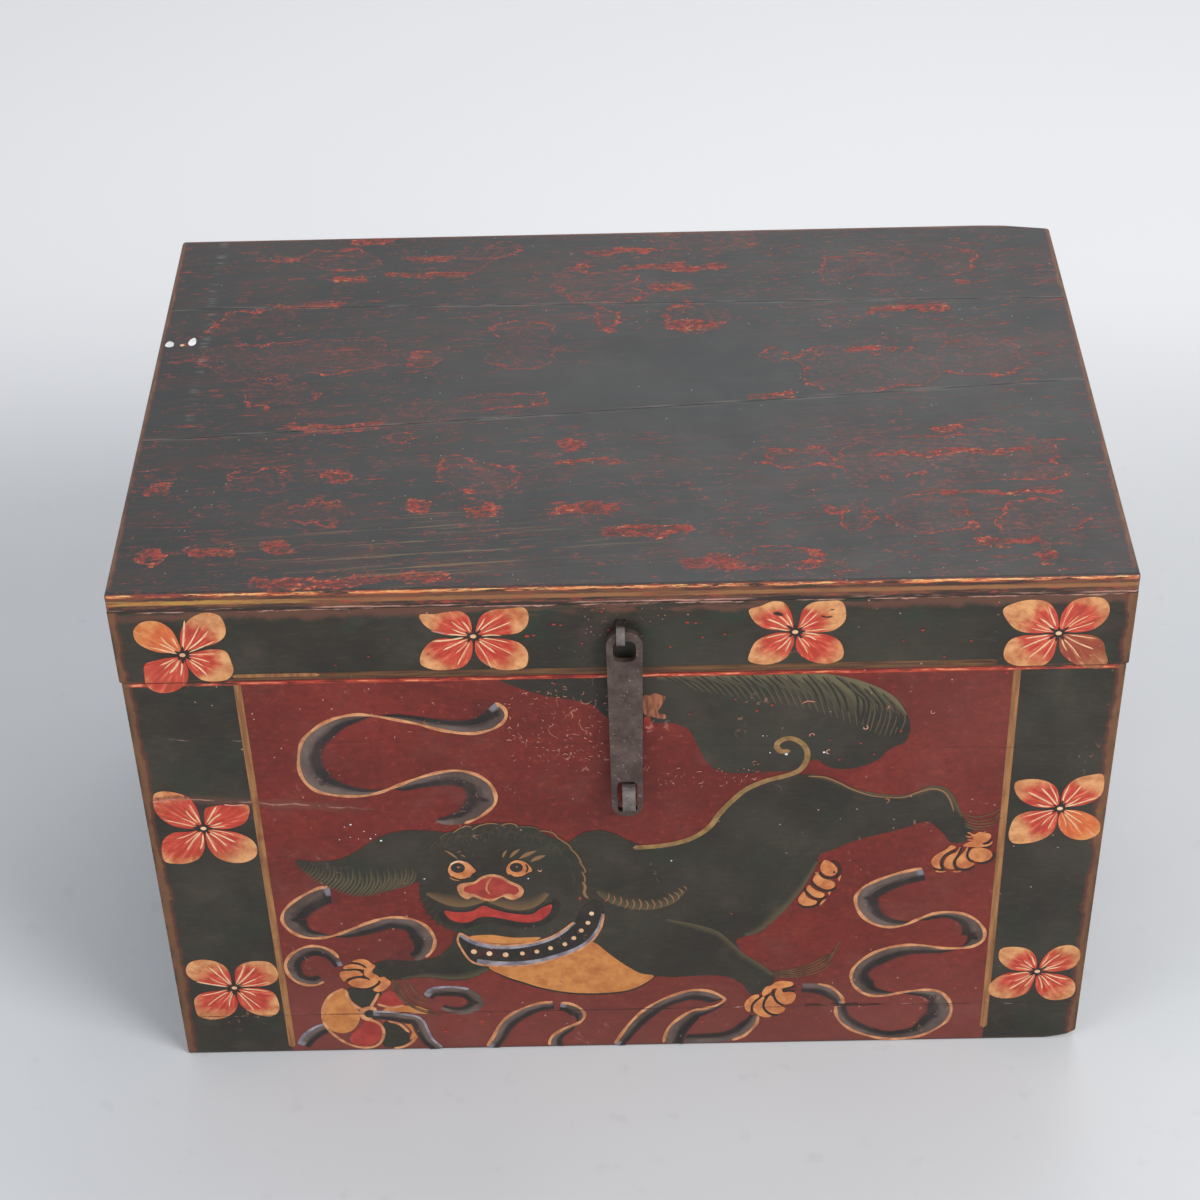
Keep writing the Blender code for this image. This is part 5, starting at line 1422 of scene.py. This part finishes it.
# %% Paws
TOES = [
    [(204, 183.8), (201, 180), (196.5, 177), (194, 174), (192.5, 170.5), (193, 167), (195.5, 164), (199, 163),
     (198, 166.5), (198, 170), (199, 173.5), (201.5, 177), (205, 179.8), (207.5, 182)],
    [(210, 182.5), (207.5, 177.3), (203.5, 175), (201.3, 171.7), (200.5, 168), (201, 165), (203.5, 163),
     (207.6, 162.7), (206.2, 166.5), (206.4, 170.5), (208.4, 174.5), (210.5, 178.5)],
    [(215, 183.5), (212.6, 178), (210.3, 174.3), (208.4, 170.3), (208.4, 167), (210, 164.3), (213.3, 163),
     (217.3, 164), (220, 167), (217.3, 168.7), (215.3, 170.7), (214.2, 174), (214.6, 178.5)],
    [(218, 180.8), (216, 177.7), (215.7, 174.3), (217.3, 171), (220.7, 169), (224.7, 168.5), (228.7, 170.3),
     (230.7, 173.7), (229.7, 177.7), (226.7, 180), (222.7, 181.2)],
    [(211.5, 183), (216, 186.8), (221, 186), (226, 184.6), (230, 187), (229, 183.6), (224, 181.6), (217, 182)],
    [(215.4, 193.6), (218.5, 193), (220.7, 195), (225.3, 194.2), (228.3, 192.7), (228.7, 190), (227, 187),
     (224, 185.4), (220, 185.4), (217, 187), (217.4, 190)],
    [(121.6, 163), (119, 158.5), (118, 155), (120, 151.3), (123.5, 148), (126.8, 146.4), (130, 147), (132.4, 149.8),
     (131.6, 153), (128.2, 155), (124.2, 156.8), (122, 160)],
    [(124.8, 173), (128.8, 171), (131.8, 167.7), (133.4, 163.7), (132.6, 160.3), (130, 158.4), (126.8, 159),
     (124, 161.3), (122.6, 164), (122.4, 167.5), (123.4, 170.5)],
    [(115.8, 150.8), (113.9, 147.3), (116, 143.4), (118.8, 140.4), (122, 138.8), (124.8, 139.4), (126, 142),
     (123.8, 144), (120.5, 145.8), (117.8, 148.3)],
    [(112.8, 145), (110.2, 141), (109, 137.3), (110.2, 133.8), (113.5, 131.8), (118, 132), (120.8, 133.6),
     (121.4, 135.7), (118, 137.4), (115.4, 139.5), (113.8, 142)],
    [(85.4, 48.4), (82, 48.2), (78.7, 45), (76.4, 41), (76.1, 37), (77.2, 33.5), (79.3, 31.6), (80.2, 34),
     (80.6, 37.5), (81.6, 41), (83.6, 44), (85.6, 46)],
    [(88.6, 47), (86, 44), (83.3, 41.2), (82, 38), (82, 33.5), (83.7, 30.2), (86.7, 27.5), (90, 26), (93.3, 26.2),
     (94.2, 27.8), (91.5, 29.5), (89.5, 33), (88.3, 36.5), (88.2, 40.2), (89.4, 44)],
    [(93, 47.5), (90.8, 43.5), (89.4, 39.5), (89.9, 35.5), (92, 32), (95.3, 29.6), (98.7, 29.3), (102, 31.2),
     (103.3, 34.5), (100.7, 37), (97.7, 39.5), (95.7, 43), (94.6, 46.5)],
    [(101.3, 50.3), (105.3, 50.7), (109.2, 49.6), (110, 46.9), (109.3, 42.9), (107.3, 39.6), (103.3, 38.5),
     (100, 39.9), (97.3, 43), (96, 47), (96.3, 50.4), (97.5, 53.5), (100.5, 54)],
    [(87.4, 49), (88.6, 53.5), (90.5, 56.3), (93.5, 57.2), (96, 60), (100, 61.6), (103.5, 61), (107.2, 60.2),
     (108.3, 58.2), (106.5, 56), (102, 54.6), (98.5, 53.6), (95.3, 54.5), (93.8, 51.5), (91, 48.6), (88.8, 47)],
    [(-172.5, 80.5), (-168, 81), (-168.9, 77), (-166, 74.2), (-163.9, 71), (-166, 68.5), (-170, 69), (-173.5, 73.5),
     (-174.5, 77)],
    [(-181.2, 87.8), (-178, 89.6), (-174, 90), (-170.5, 88), (-168.5, 85.2), (-166.2, 83.4), (-167.6, 80.5),
     (-170, 79), (-172.5, 82), (-175.5, 85), (-179, 86.6)],
    [(-187.6, 82), (-185.5, 84), (-182, 85), (-178, 84.6), (-174.5, 83), (-171.5, 80), (-173, 79.6), (-177, 80.6),
     (-181.2, 81), (-185.2, 80.4), (-187.3, 80.6)],
    [(-190.3, 76), (-189, 78.3), (-185.2, 79), (-180.5, 79.3), (-177.2, 78.2), (-174.5, 75.5), (-175.5, 74.2),
     (-178.5, 73.6), (-182.5, 72.6), (-186, 70.6), (-187.9, 68.8), (-189.6, 71.5)],
    [(-185.4, 67.5), (-183.8, 69.6), (-180.5, 71.2), (-177.2, 71.6), (-173.8, 70.8), (-170.5, 70.2), (-166.5, 69.5),
     (-165.2, 67.5), (-167.2, 64.8), (-170.5, 62.9), (-175.2, 61.9), (-180, 62.6), (-183.6, 64.6)],
    [(-165, 71), (-161.2, 72.6), (-159.6, 70.5), (-157.2, 67), (-159.8, 62.2), (-163.2, 59), (-167.2, 58.2),
     (-169.5, 60), (-168, 62.2), (-164.5, 65.5), (-164, 68)],
]
TOE_LINES = [
    [(207.5, 179.2), (203, 177), (200, 173.5), (198.9, 169), (199.3, 165.5), (201, 162.3)],
    [(211, 182.5), (209.8, 177), (208.6, 173.5), (207.2, 169), (207.4, 165.5), (209.5, 162.5), (213, 161.7),
     (217, 162.3), (220.4, 165)],
    [(217.6, 181.6), (215.5, 179), (214.9, 174.5), (216, 171), (219.5, 168)],
    [(229.5, 188.5), (227.5, 185.3), (223.5, 184.2)], [(230, 182.2), (226.5, 181.3), (223.5, 181.7)],
    [(194, 164.4), (197, 162.3), (202, 161.5)],
    [(231.8, 177), (232, 173), (229.8, 169.4), (226, 167.6), (221.5, 167.6)],
    [(121.5, 162.5), (123, 159.5), (126, 157.2), (130, 156.6), (133.5, 158.5), (135, 163), (134.5, 167), (132.5, 170),
     (129, 172.5)],
    [(116.8, 155), (118.5, 151), (122, 147.5), (126, 145.2), (130, 145.2), (133.5, 148)],
    [(112.8, 148), (114, 145), (117, 141), (120.5, 138), (124.5, 137.3), (127.5, 140)],
    [(109, 134.5), (112.5, 130.9), (118, 130.7), (122, 133), (122.5, 136)],
    [(131.4, 163.5), (131.2, 161.5), (132.8, 160.8)], [(88, 47.5), (84.5, 43.5), (82, 40), (81, 36), (81.3, 31.5)],
    [(92.6, 48.8), (90.2, 45), (88.9, 40), (89, 35.5), (91, 31.5), (94.5, 28.6), (99, 28)],
    [(94.3, 53.5), (95.2, 48.5), (96.2, 44.5), (98.5, 40.5), (102, 37.6)],
    [(109.8, 56), (106, 54.6), (102, 53.2), (101.6, 51.8), (105, 51.6), (109.4, 51.3)],
    [(-181.5, 86.6), (-178, 86), (-174.5, 83.8), (-172, 81)],
    [(-188.5, 79.6), (-184, 79.8), (-179, 80), (-175.8, 78.3), (-174.3, 75)],
    [(-187, 69), (-184, 71.3), (-180, 72.8), (-176, 72.9), (-172.5, 71.5), (-170.8, 69.5)],
    [(-164.3, 68.3), (-167, 64.8), (-170.8, 62.2), (-176, 60.9), (-181, 61.6)],
]
LOOSE_PEACH = [
    [(195.5, 161.4), (198, 160.6), (202.3, 160.7)], [(206.5, 160.6), (209.5, 160.2), (212.3, 161)],
    [(135.8, 159), (134.6, 156), (134.9, 153.6)], [(129.8, 145.8), (128.8, 143), (129, 141)],
    [(127, 138.2), (124.8, 135), (123.2, 132)], [(213.5, 194.8), (216.5, 193.6)], [(212.5, 191.5), (217, 190.5)],
    [(214, 188.5), (218, 187.6)],
]
paws = Coat("lion_paws")
for outline in TOES:
    paws.patch(outline, TOE_PEACH, 0.22)
for line in LOOSE_PEACH:
    paws.stroke(line, 1.5, TOE_PEACH, 0.235, 1.5)
for line in TOE_LINES:
    paws.stroke(line, 1.6, BLACK_LINE, 0.25, 1.5)
paws.done("trunk", "red_paint")

# %% [markdown]
# ## Ball
# Under the left paw the lion holds a ball sewn from coloured panels with a ribbon knotted over it.

# %% Ball
BALL_PANELS = [
    ([(-188, 61), (-198, 54), (-203, 44), (-204, 33), (-201.5, 22), (-193, 18), (-186, 21), (-181, 30), (-180, 38),
      (-184, 47), (-186, 55)], CHEST_OCHRE),
    ([(-186, 62), (-168, 62), (-164, 57), (-170, 46), (-176, 42), (-182, 47), (-186, 55)], LION_BLACK),
    ([(-158, 59), (-150, 46), (-155, 43), (-165, 44), (-168, 48), (-164, 55)], NOSE_RED),
    ([(-163, 41.5), (-148, 44), (-136, 41), (-134.5, 36), (-150, 38), (-165, 38)], CHEST_OCHRE),
    ([(-188, 15), (-180, 25), (-176, 30), (-170, 28), (-166.5, 18), (-171, 8), (-180, 4.5), (-188, 9)], NOSE_RED),
    ([(-164, 28), (-155, 26), (-148.5, 15), (-150, 7), (-158, 2.5), (-166, 4), (-167, 15)], LION_BLACK),
    ([(-152, 29), (-147, 28.5), (-142, 20), (-142, 13), (-148.5, 10.5), (-146.5, 18)], CHEST_OCHRE),
]
BALL_LINES = [
    [(-189, 62), (-198, 55.5), (-203.5, 45), (-205, 35), (-203.5, 25), (-198, 15), (-190, 7), (-180, 3), (-172, 4.5),
     (-167, 11), (-165.5, 20), (-168, 27), (-174, 31)],
    [(-187, 60), (-187, 53), (-183.5, 46), (-178, 41), (-172, 39)],
    [(-166, 57), (-169, 50), (-172, 44), (-174, 39), (-170, 33), (-163, 30)],
    [(-162, 29.5), (-154, 25.5), (-148.5, 17.5)],
    [(-143, 15), (-147, 8), (-154, 3), (-160, 2)],
    [(-168, 46), (-158, 42.5), (-150, 44.5)],
]
BALL_SPAN = (0.4, 331.2)
ball = Coat("lion_ball")
for i, (outline, finish) in enumerate(BALL_PANELS):
    ball.patch(outline, finish, 0.13 + 0.01 * (i % 3))
for i, line in enumerate(BALL_LINES):
    ball.stroke(line, 2.1, PEACH, 0.17 + 0.006 * (i % 2))
ball.disc((-173.5, 36.5), 4.2, LION_BLACK, 0.185)
ball.stroke([(-168.5, 40), (-172.5, 42.3), (-177, 41), (-179, 36.5), (-176.5, 32), (-171.5, 31)], 3.4, PEACH, 0.19,
            0.6)
ball.band(BALL_RIBBON, RIBBON, 0.20)
ball.stroke([(x, z) for x, z, _ in BALL_RIBBON], 1.8, LINE_GREY, 0.23)
ball.done("trunk", "red_paint", BALL_SPAN)

# %% [markdown]
# ## Flowers
# Eight four-petalled flowers fill the lid's front and the two columns. A petal is tan at its tip with a red wash from
# the heart, which reaches further in some petals than in others, and cream strokes run out from the black heart.
# Two flowers lie across the lid's joint, so they are drawn once for the lid and once for the body and cut there.

# %% Petal finish
def petal_paint(name, tan_dark, tan_light, red_dark, red_light, share):
    made = Finish(name)
    out, across = made.brush()
    spread = made.node("ShaderNodeCombineXYZ", {}, {0: out, 1: across, 2: made.x * 0.03})
    veins = made.noise((2.5, 13.0, 1.0), 151, 4, 0.6, place=spread)
    cloud = made.noise(0.11, 152, 4, 0.6)
    tan = made.mix(cloud.ease(0.3, 0.7), tan_dark, tan_light)
    red = made.mix(veins.ease(0.35, 0.7), red_dark, red_light)
    side = made.noise(0.025, 153, 2) - 0.5
    lean = abs(across - 0.5 + side * 1.1)
    wash = (out + (cloud - 0.5) * 0.45 + lean * 0.35).ease(1.08, 0.70)
    shade = made.mix(wash * share, tan, red)
    shade = shade.lay(veins.ease(0.56, 0.72) * 0.42, (234, 168, 126))
    shade = shade.lay(veins.ease(0.44, 0.30) * out.ease(0.1, 0.7) * 0.35, (150, 74, 46))
    stain = made.noise(0.05, 154, 5, 0.6).ease(0.56, 0.68)
    shade = shade.lay(stain * 0.3, (150, 84, 48))
    shade, relief, _ = aged(made, shade)
    return made.done(shade, 0.42 + cloud * 0.12, relief + veins * 0.05, **SHEEN)


PETAL_PAINT = petal_paint("petal", (180, 112, 68), (216, 158, 106), (168, 40, 32), (206, 80, 60), 0.95)
ORANGE_PETAL = petal_paint("petal_orange", (186, 104, 52), (214, 144, 84), (192, 80, 44), (212, 112, 62), 0.8)
WORN_PETAL = petal_paint("petal_worn", (120, 72, 46), (160, 102, 66), (136, 50, 36), (160, 72, 50), 0.8)

# %% Draw the flowers
FLOWERS = {
    "lid_1": ((-259.5, 354),
              [(0.9,
                [(-260.5, 357), (-270, 356), (-278, 358.5), (-285, 364.5), (-286, 373), (-280.5, 379.5), (-271, 380),
                 (-264, 374), (-261, 365)]),
               (0.75,
                [(-258.5, 357), (-259.5, 366), (-256.5, 376), (-250, 383), (-242, 386), (-235, 384), (-232, 376.5),
                 (-233, 368), (-240, 362), (-250, 359.5)]),
               (1.25,
                [(-260, 351.5), (-268, 352), (-276, 350), (-282.5, 347.5), (-284, 338), (-283.5, 329), (-277, 324),
                 (-268, 325), (-260.5, 331), (-257.7, 340)]),
               (0.8,
                [(-257, 353.5), (-250, 356.5), (-241, 358), (-234, 356.5), (-231.5, 349), (-231, 340), (-235, 334.5),
                 (-243, 333), (-250.5, 334.5), (-255.5, 341), (-258, 348)])]),
    "lid_2": ((-87.5, 364),
              [(0.8,
                [(-89.5, 365), (-97, 365.5), (-104, 365.5), (-111, 369), (-116, 374), (-118, 381), (-109, 381.5),
                 (-101, 383), (-94, 383), (-89.5, 379), (-88, 371.5)]),
               (0.85,
                [(-85.5, 366), (-84.7, 373), (-82, 379.5), (-76, 383.5), (-66, 384.5), (-57, 385), (-54.5, 380),
                 (-56, 371), (-61, 366), (-70, 364.7), (-78, 364.7)]),
               (0.9,
                [(-89, 362), (-96, 361.5), (-104, 363), (-111, 361.5), (-116.5, 356), (-119.5, 349), (-119.5, 343),
                 (-113, 339), (-104, 338.5), (-95, 340.5), (-90, 347), (-88.3, 355)]),
               (0.85,
                [(-85.5, 361.5), (-78, 362.3), (-69, 361.3), (-61, 358.5), (-56.5, 352.5), (-56, 345), (-58, 339.5),
                 (-65, 337.5), (-75, 338.5), (-83, 344), (-86.5, 351)])]),
    "lid_3": ((101.3, 362.5),
              [(0.85,
                [(99.7, 364), (92, 364.2), (84, 365.5), (78, 370), (74, 380), (81, 382.7), (87.5, 386), (94, 385),
                 (98, 378.5), (99.8, 371)]),
               (0.7,
                [(103, 363.5), (103.7, 371), (105.5, 379.5), (110.5, 384.3), (119, 385.5), (127.5, 385),
                 (130.3, 378.5), (130, 370), (124, 363.3), (115, 361.8), (108, 362)]),
               (0.8,
                [(100.2, 360.5), (94, 362.2), (85.5, 360.5), (78.3, 355.5), (75, 347.5), (74.3, 341), (81, 338),
                 (89, 338.4), (96.3, 342.5), (99.8, 350)]),
               (1.0,
                [(103.4, 360), (110.5, 360.8), (118.5, 360.2), (126, 356.5), (130, 349), (129.5, 341.5),
                 (121.5, 337.5), (112, 339.3), (105, 344.5), (102, 351)])]),
    "lid_4": ((256, 357.5),
              [(0.7,
                [(254.8, 359), (248, 358), (240, 358), (231.5, 360.5), (225, 368), (222, 376.5), (228, 381),
                 (238, 383.3), (247, 381.5), (252, 376), (255, 367)]),
               (0.9,
                [(257, 360), (256, 368), (258, 376), (263, 382.3), (271, 384.5), (280, 383), (284, 376), (283, 368),
                 (277.5, 361), (269, 358)]),
               (0.8,
                [(254.5, 356), (246, 356.3), (236.5, 356.2), (228.5, 353.5), (225, 346), (226, 338), (231.5, 333.5),
                 (240, 332), (248, 332.4), (253, 337), (255.3, 347)]),
               (0.9,
                [(257.5, 356.2), (266, 356.3), (276, 355.3), (282.5, 350.5), (285, 342), (287, 334), (283, 329),
                 (274, 330), (265, 335.5), (259.3, 341.5), (257, 349)])]),
    "left_1": ((-264, 211),
               [(1.0,
                 [(-265.3, 213), (-272, 211), (-282, 213.5), (-288, 218.5), (-292, 226), (-292.5, 234), (-291, 241),
                  (-286, 243.3), (-278, 242), (-270, 237.5), (-266.3, 229), (-265.2, 220)]),
                (1.15,
                 [(-262, 213.5), (-262.3, 221), (-260.7, 228.2), (-252.5, 230.4), (-242.5, 230.9), (-234, 230),
                  (-234.4, 222), (-238, 215), (-246, 211), (-254, 210.2)]),
                (1.05,
                 [(-265.6, 208.8), (-274, 208.2), (-283.5, 207.5), (-290, 202), (-292.6, 192), (-291.5, 182.5),
                  (-285, 180.4), (-277, 181), (-270, 184.8), (-266, 192), (-264.4, 200.5)]),
                (0.8,
                 [(-262, 209.4), (-254, 209), (-244.5, 207), (-236.5, 202), (-232.7, 195.5), (-233.8, 186),
                  (-241, 180.8), (-250.5, 180.8), (-258.5, 185.6), (-262.8, 194)])]),
    "left_2": ((-260.8, 64.5),
               [(0.75,
                 [(-263.4, 66.7), (-271.5, 67.5), (-280.5, 69.8), (-287.5, 73.3), (-290.8, 80.5), (-288, 88.8),
                  (-280.5, 92), (-271.5, 90.5), (-265, 85.5), (-262.3, 77)]),
                (0.85,
                 [(-258.5, 67.5), (-259.2, 76), (-257.5, 83), (-252, 88), (-243, 89.8), (-235, 88), (-231, 80.5),
                  (-231.5, 72.5), (-236.5, 67.5), (-245.5, 65.5)]),
                (0.9,
                 [(-264, 62.2), (-272.5, 61.8), (-282, 60), (-288, 55), (-288.9, 46), (-287.5, 37.5), (-279, 34),
                  (-269, 36.3), (-262.8, 42), (-260.2, 51)]),
                (0.9,
                 [(-258.5, 62.3), (-251, 64), (-243, 63.2), (-235.7, 59.3), (-233.2, 51), (-233.5, 42), (-238, 36.5),
                  (-246, 37), (-254.3, 42), (-259, 50)])]),
    "right_1": ((269.8, 214),
                [(0.85,
                  [(268.3, 216.3), (260, 215), (251.5, 217.3), (244.3, 223), (240.3, 231), (240.5, 237.2),
                   (247, 239.4), (256.5, 238.6), (264.5, 233.8), (268, 226)]),
                 (0.8,
                  [(271, 216.5), (270, 225), (272.3, 233), (278, 239.3), (286, 242), (293.3, 242.5), (295.2, 234.5),
                   (294.2, 225), (287.5, 218.2), (279.5, 215.8)]),
                 (0.75,
                  [(268, 211.8), (260, 212.4), (250, 211.6), (243, 207.5), (240, 198.5), (240, 189.5), (243, 184.7),
                   (252, 184.3), (261.5, 187.8), (267.5, 194.5), (268.9, 203)]),
                 (1.0,
                  [(271.3, 211.3), (278, 212.4), (286, 210), (293, 205), (296.5, 198.5), (295.5, 191), (288, 186.3),
                   (279.5, 187.8), (273, 193.5), (269.6, 202)])]),
    "right_2": ((268.3, 66),
                [(0.75,
                  [(267, 68.3), (259, 66.3), (250.7, 68.5), (245, 73.5), (241.8, 80), (242.8, 88), (250.7, 89.8),
                   (260.3, 87.3), (265.3, 81.5), (267.3, 74.5)]),
                 (0.85,
                  [(269.6, 68.5), (270.3, 76), (273.6, 83.2), (280, 89), (288.3, 90.3), (294, 85.7), (295, 77),
                   (291.7, 69.5), (283.5, 66), (275.5, 65.8)]),
                 (0.85,
                  [(266.7, 63.6), (259, 64.3), (250.7, 65.3), (242.7, 61), (237.8, 53.7), (238.5, 45), (245.8, 40.7),
                   (255.5, 41), (262.8, 45.5), (266, 54)]),
                 (0.9,
                  [(269.6, 64.3), (277, 63.6), (285, 62), (292.3, 57), (294.9, 49), (293.2, 41.5), (285, 37.8),
                   (277, 39), (270.5, 45.5), (268, 54)])]),
}
ODD_PETALS = {("lid_1", 0): ORANGE_PETAL, ("lid_4", 3): WORN_PETAL, ("right_1", 3): ORANGE_PETAL}


def flower(coat, name, lift=0.15):
    """Four petals with cream strokes over them, and a black heart with a cream middle."""
    middle, petals = np.array(FLOWERS[name][0], float), FLOWERS[name][1]
    chance = np.random.default_rng(sum(name.encode()))
    for i, (wash, outline) in enumerate(petals):
        axis = np.mean(outline, axis=0) - middle
        turn, length = math.atan2(axis[1], axis[0]), 2 * np.linalg.norm(axis)
        coat.petal(middle, outline, wash, ODD_PETALS.get((name, i), PETAL_PAINT), lift + 0.01 * (i % 2))
        for k in range(4):
            way = heading(turn + math.radians(-27 + 18 * k + chance.uniform(-4, 4)))
            near, far = chance.uniform(3.0, 6.0), length * chance.uniform(0.36, 0.62)
            curl = left_of(way) * chance.uniform(-0.8, 0.8)
            line = [middle + way * near, middle + way * (near + far) / 2 + curl, middle + way * far]
            coat.stroke(line, chance.uniform(0.6, 1.2), CREAM, lift + 0.03 + HAIR_RISE * (k % 2), 3.0, 2.5)
    for k in range(8):
        way = heading(k * math.pi / 4 + chance.uniform(-0.2, 0.2))
        line = [middle, middle + way * chance.uniform(5.0, 7.5)]
        coat.stroke(line, 1.8, BLACK_LINE, lift + 0.05 + HAIR_RISE * (k % 2), 2.0)
    coat.disc(middle, 3.2, BLACK_LINE, lift + 0.065)
    coat.disc(middle, 1.8, CREAM, lift + 0.075, 0.8)


ABOVE_JOINT, BELOW_JOINT = (332.7, 399.0), (0.4, 331.3)
FLOWER_COATS = {
    "flowers_lid": ("lid", LID_FACE, ABOVE_JOINT, "lid_1 lid_2 lid_3 lid_4"),
    "flowers_left": ("trunk", FRONT_FACE, BELOW_JOINT, "left_1 left_2"),
    "flowers_right": ("trunk", FRONT_FACE, BELOW_JOINT, "right_1 right_2"),
    "flowers_below_joint": ("trunk", FRONT_FACE, BELOW_JOINT, "lid_1 lid_4"),
}
for piece_name, (body_name, face_place, span, names) in FLOWER_COATS.items():
    coat = Coat(piece_name, face_place)
    for name in names.split():
        flower(coat, name)
    coat.done(body_name, "black_paint", span)

# %% [markdown]
# ## Splashes
# Two drops of white paint fell on the lid's left end, and a few more hit the front beside the lion's ear. Small chips
# and scratches that stand by themselves are drawn here too, over all the other coats.

# %% Splashes
WHITE_SPECKS = [
    (-160.5, 199.5, 0.8), (-154, 197.5, 1.0), (-164, 206, 0.6), (-172, 212, 0.9), (-176, 210, 0.5), (-157, 203, 0.5),
    (28, 175, 0.8), (-129, 163, 0.7), (-180, 199, 0.6), (-173, 201, 0.5), (-168, 199.5, 0.4), (98.5, 264.5, 1.3),
    (121.5, 265.5, 1.1), (88.5, 266, 0.6), (84, 280, 0.6), (-63, 161.5, 0.7),
]
CHIP_HOOKS = [
    (113.7, 279.4, 1.5), (124.5, 265.8, 1.5), (186, 297, 1.3), (146, 285.5, 1.4), (158.5, 301.5, 0.9),
    (162, 224, 1.2),
]
SCRATCHED = [((-70, 255), (-12, 322), 90), ((12, 238), (84, 258), 44), ((-150, 282), (-70, 312), 12)]
PINK_CHIPS = [
    [(107, 305.5), (110, 307.4), (115, 306.6)], [(-77, 208.4), (-76, 206.8)],
    [(-57, 169), (-55, 167.6), (-54, 169.4)],
]
JOINT_CRACKS = [
    [(116, 37.6), (121, 38), (128, 37.4)], [(133, 38.6), (141, 37.8), (152, 38.4)],
    [(139, 37), (150, 36.6), (167, 37.4)],
]
RED_CHIPS = [
    (67, 310, 0.9), (89, 304.8, 1.2), (80, 300.4, 1.2), (39.5, 298.6, 0.8), (167.4, 281.6, 1.3), (143.5, 272.3, 1.0),
    (177.3, 272.6, 1.1), (124.5, 275.5, 0.9), (152, 263, 1.0), (131, 259, 1.0), (81.6, 250.6, 1.1), (163.8, 252, 1.0),
    (228, 327, 1.5), (205, 325, 0.8), (156, 229.5, 0.9), (66.5, 126, 1.0), (-128, 211, 0.9), (-121.5, 209.5, 1.0),
    (-94.5, 211.3, 0.9), (-124, 18, 1.6), (-126, 21.5, 1.0), (48, 23, 1.3), (71, 20.5, 1.1), (-41, 325, 1.0),
]
LID_CHIPS = [
    (-40, 372, 1.2), (-36, 371.4, 0.8), (-12, 381, 1.0), (-8, 367, 1.0), (38, 371.5, 1.3), (43, 371, 0.9),
    (60, 362, 0.9), (28, 353, 0.8), (-56, 363.5, 1.5), (-52, 364, 1.1), (176, 362, 1.2), (165, 354, 0.8),
    (-150, 350, 0.8), (205, 353, 0.9), (47, 360, 0.8), (-24, 357, 0.9), (-170, 344, 0.8), (190, 341, 0.9),
]
drops = Coat("white_drops", LID_TOP)
drops.patch([(-296, 64), (-294, 69.5), (-291, 68), (-290.5, 64), (-293, 62.5)], WHITE_SPLASH, 0.05)
drops.patch([(-281, 66), (-280, 71), (-277.5, 73), (-276, 69), (-276.5, 65), (-279, 63.5)], WHITE_SPLASH, 0.05)
drops.patch([(-286.5, 64.5), (-284.5, 66), (-283, 64.5), (-284.5, 63)], CREAM, 0.05)
drops.done("lid", "lid_lacquer")
specks = Coat("white_specks")
for x, z, radius in WHITE_SPECKS:
    specks.disc((x, z), radius * 0.75, WHITE_SPLASH, 0.36, 0.8)
for i, (x, z, radius) in enumerate(CHIP_HOOKS):
    turns = np.linspace(i, i + 3.6 + 0.3 * (i % 4), 5)
    hook = [(x + radius * math.cos(t), z + radius * 1.2 * math.sin(t)) for t in turns]
    specks.stroke(hook, 0.65, PINK_CHIP, 0.365, 1.5, 0.6)
chance = np.random.default_rng(7)
for low, high, count in SCRATCHED:
    for start in chance.uniform(low, high, (count, 2)):
        way = heading(chance.uniform(0, 3.1)) * chance.uniform(0.8, 3.4)
        bow = left_of(way) * chance.uniform(-0.45, 0.45)
        line = [start, start + way / 2 + bow, start + way]
        specks.stroke(line, chance.uniform(0.25, 0.5), PINK_CHIP, 0.37, 3.0, 0.7)
for line in PINK_CHIPS:
    specks.stroke(line, 0.9, PINK_CHIP, 0.365, 1.5)
specks.stroke([(-291, 237), (-284, 238), (-276, 238.6), (-269, 237.4)], 2.0, BARED, 0.363, 2)
specks.stroke([(-293, 234.6), (-288, 235.2), (-283, 236.4), (-276, 236.2), (-269, 236.6)], 1.1, PINK_CHIP, 0.366, 2,
              1.0)
specks.stroke([(-249, 231.4), (-243, 230.4), (-236, 231.2)], 0.9, PINK_CHIP, 0.366, 2, 1.0)
for line in JOINT_CRACKS:
    specks.stroke(line, 0.9, BLACK_LINE, 0.363, 5)
for x, z, radius in RED_CHIPS:
    specks.disc((x, z), radius * 0.8, RED_CHIP, 0.36, 0.7)
specks.done("trunk", "red_paint")
lid_chips = Coat("lid_chips", LID_FACE)
for x, z, radius in LID_CHIPS:
    lid_chips.disc((x, z), radius, RED_CHIP, 0.36, 0.55)
for start in chance.uniform((-22, 362), (26, 387), (34, 2)):
    way = chance.uniform(-1.3, 1.3, 2)
    line = [start, start + way / 2 + way[::-1] * 0.2, start + way]
    lid_chips.stroke(line, chance.uniform(0.3, 0.6), PINK_CHIP, 0.36, 2.0, 0.7)
lid_chips.stroke([(88, 377.5), (91, 376.6), (94, 375.6)], 2.4, BLACK_LINE, 0.363, 1.0)
lid_chips.stroke([(116, 374.6), (119, 373.4), (123, 373.8)], 0.9, BLACK_LINE, 0.363, 1.5)
lid_chips.stroke([(121, 378.6), (124, 379.2)], 0.8, BLACK_LINE, 0.363, 1.5)
lid_chips.stroke([(-112, 369), (-107, 367.5), (-103, 366.6)], 1.0, PINK_CHIP, 0.363, 1.5)
lid_chips.done("lid", "black_paint", LID_SPAN)

# %% [markdown]
# ## Sizes
# The paint is thinner than a hair, so the dressed trunk has to be as large as the CAD model.

# %% Sizes
print("paint laid on")
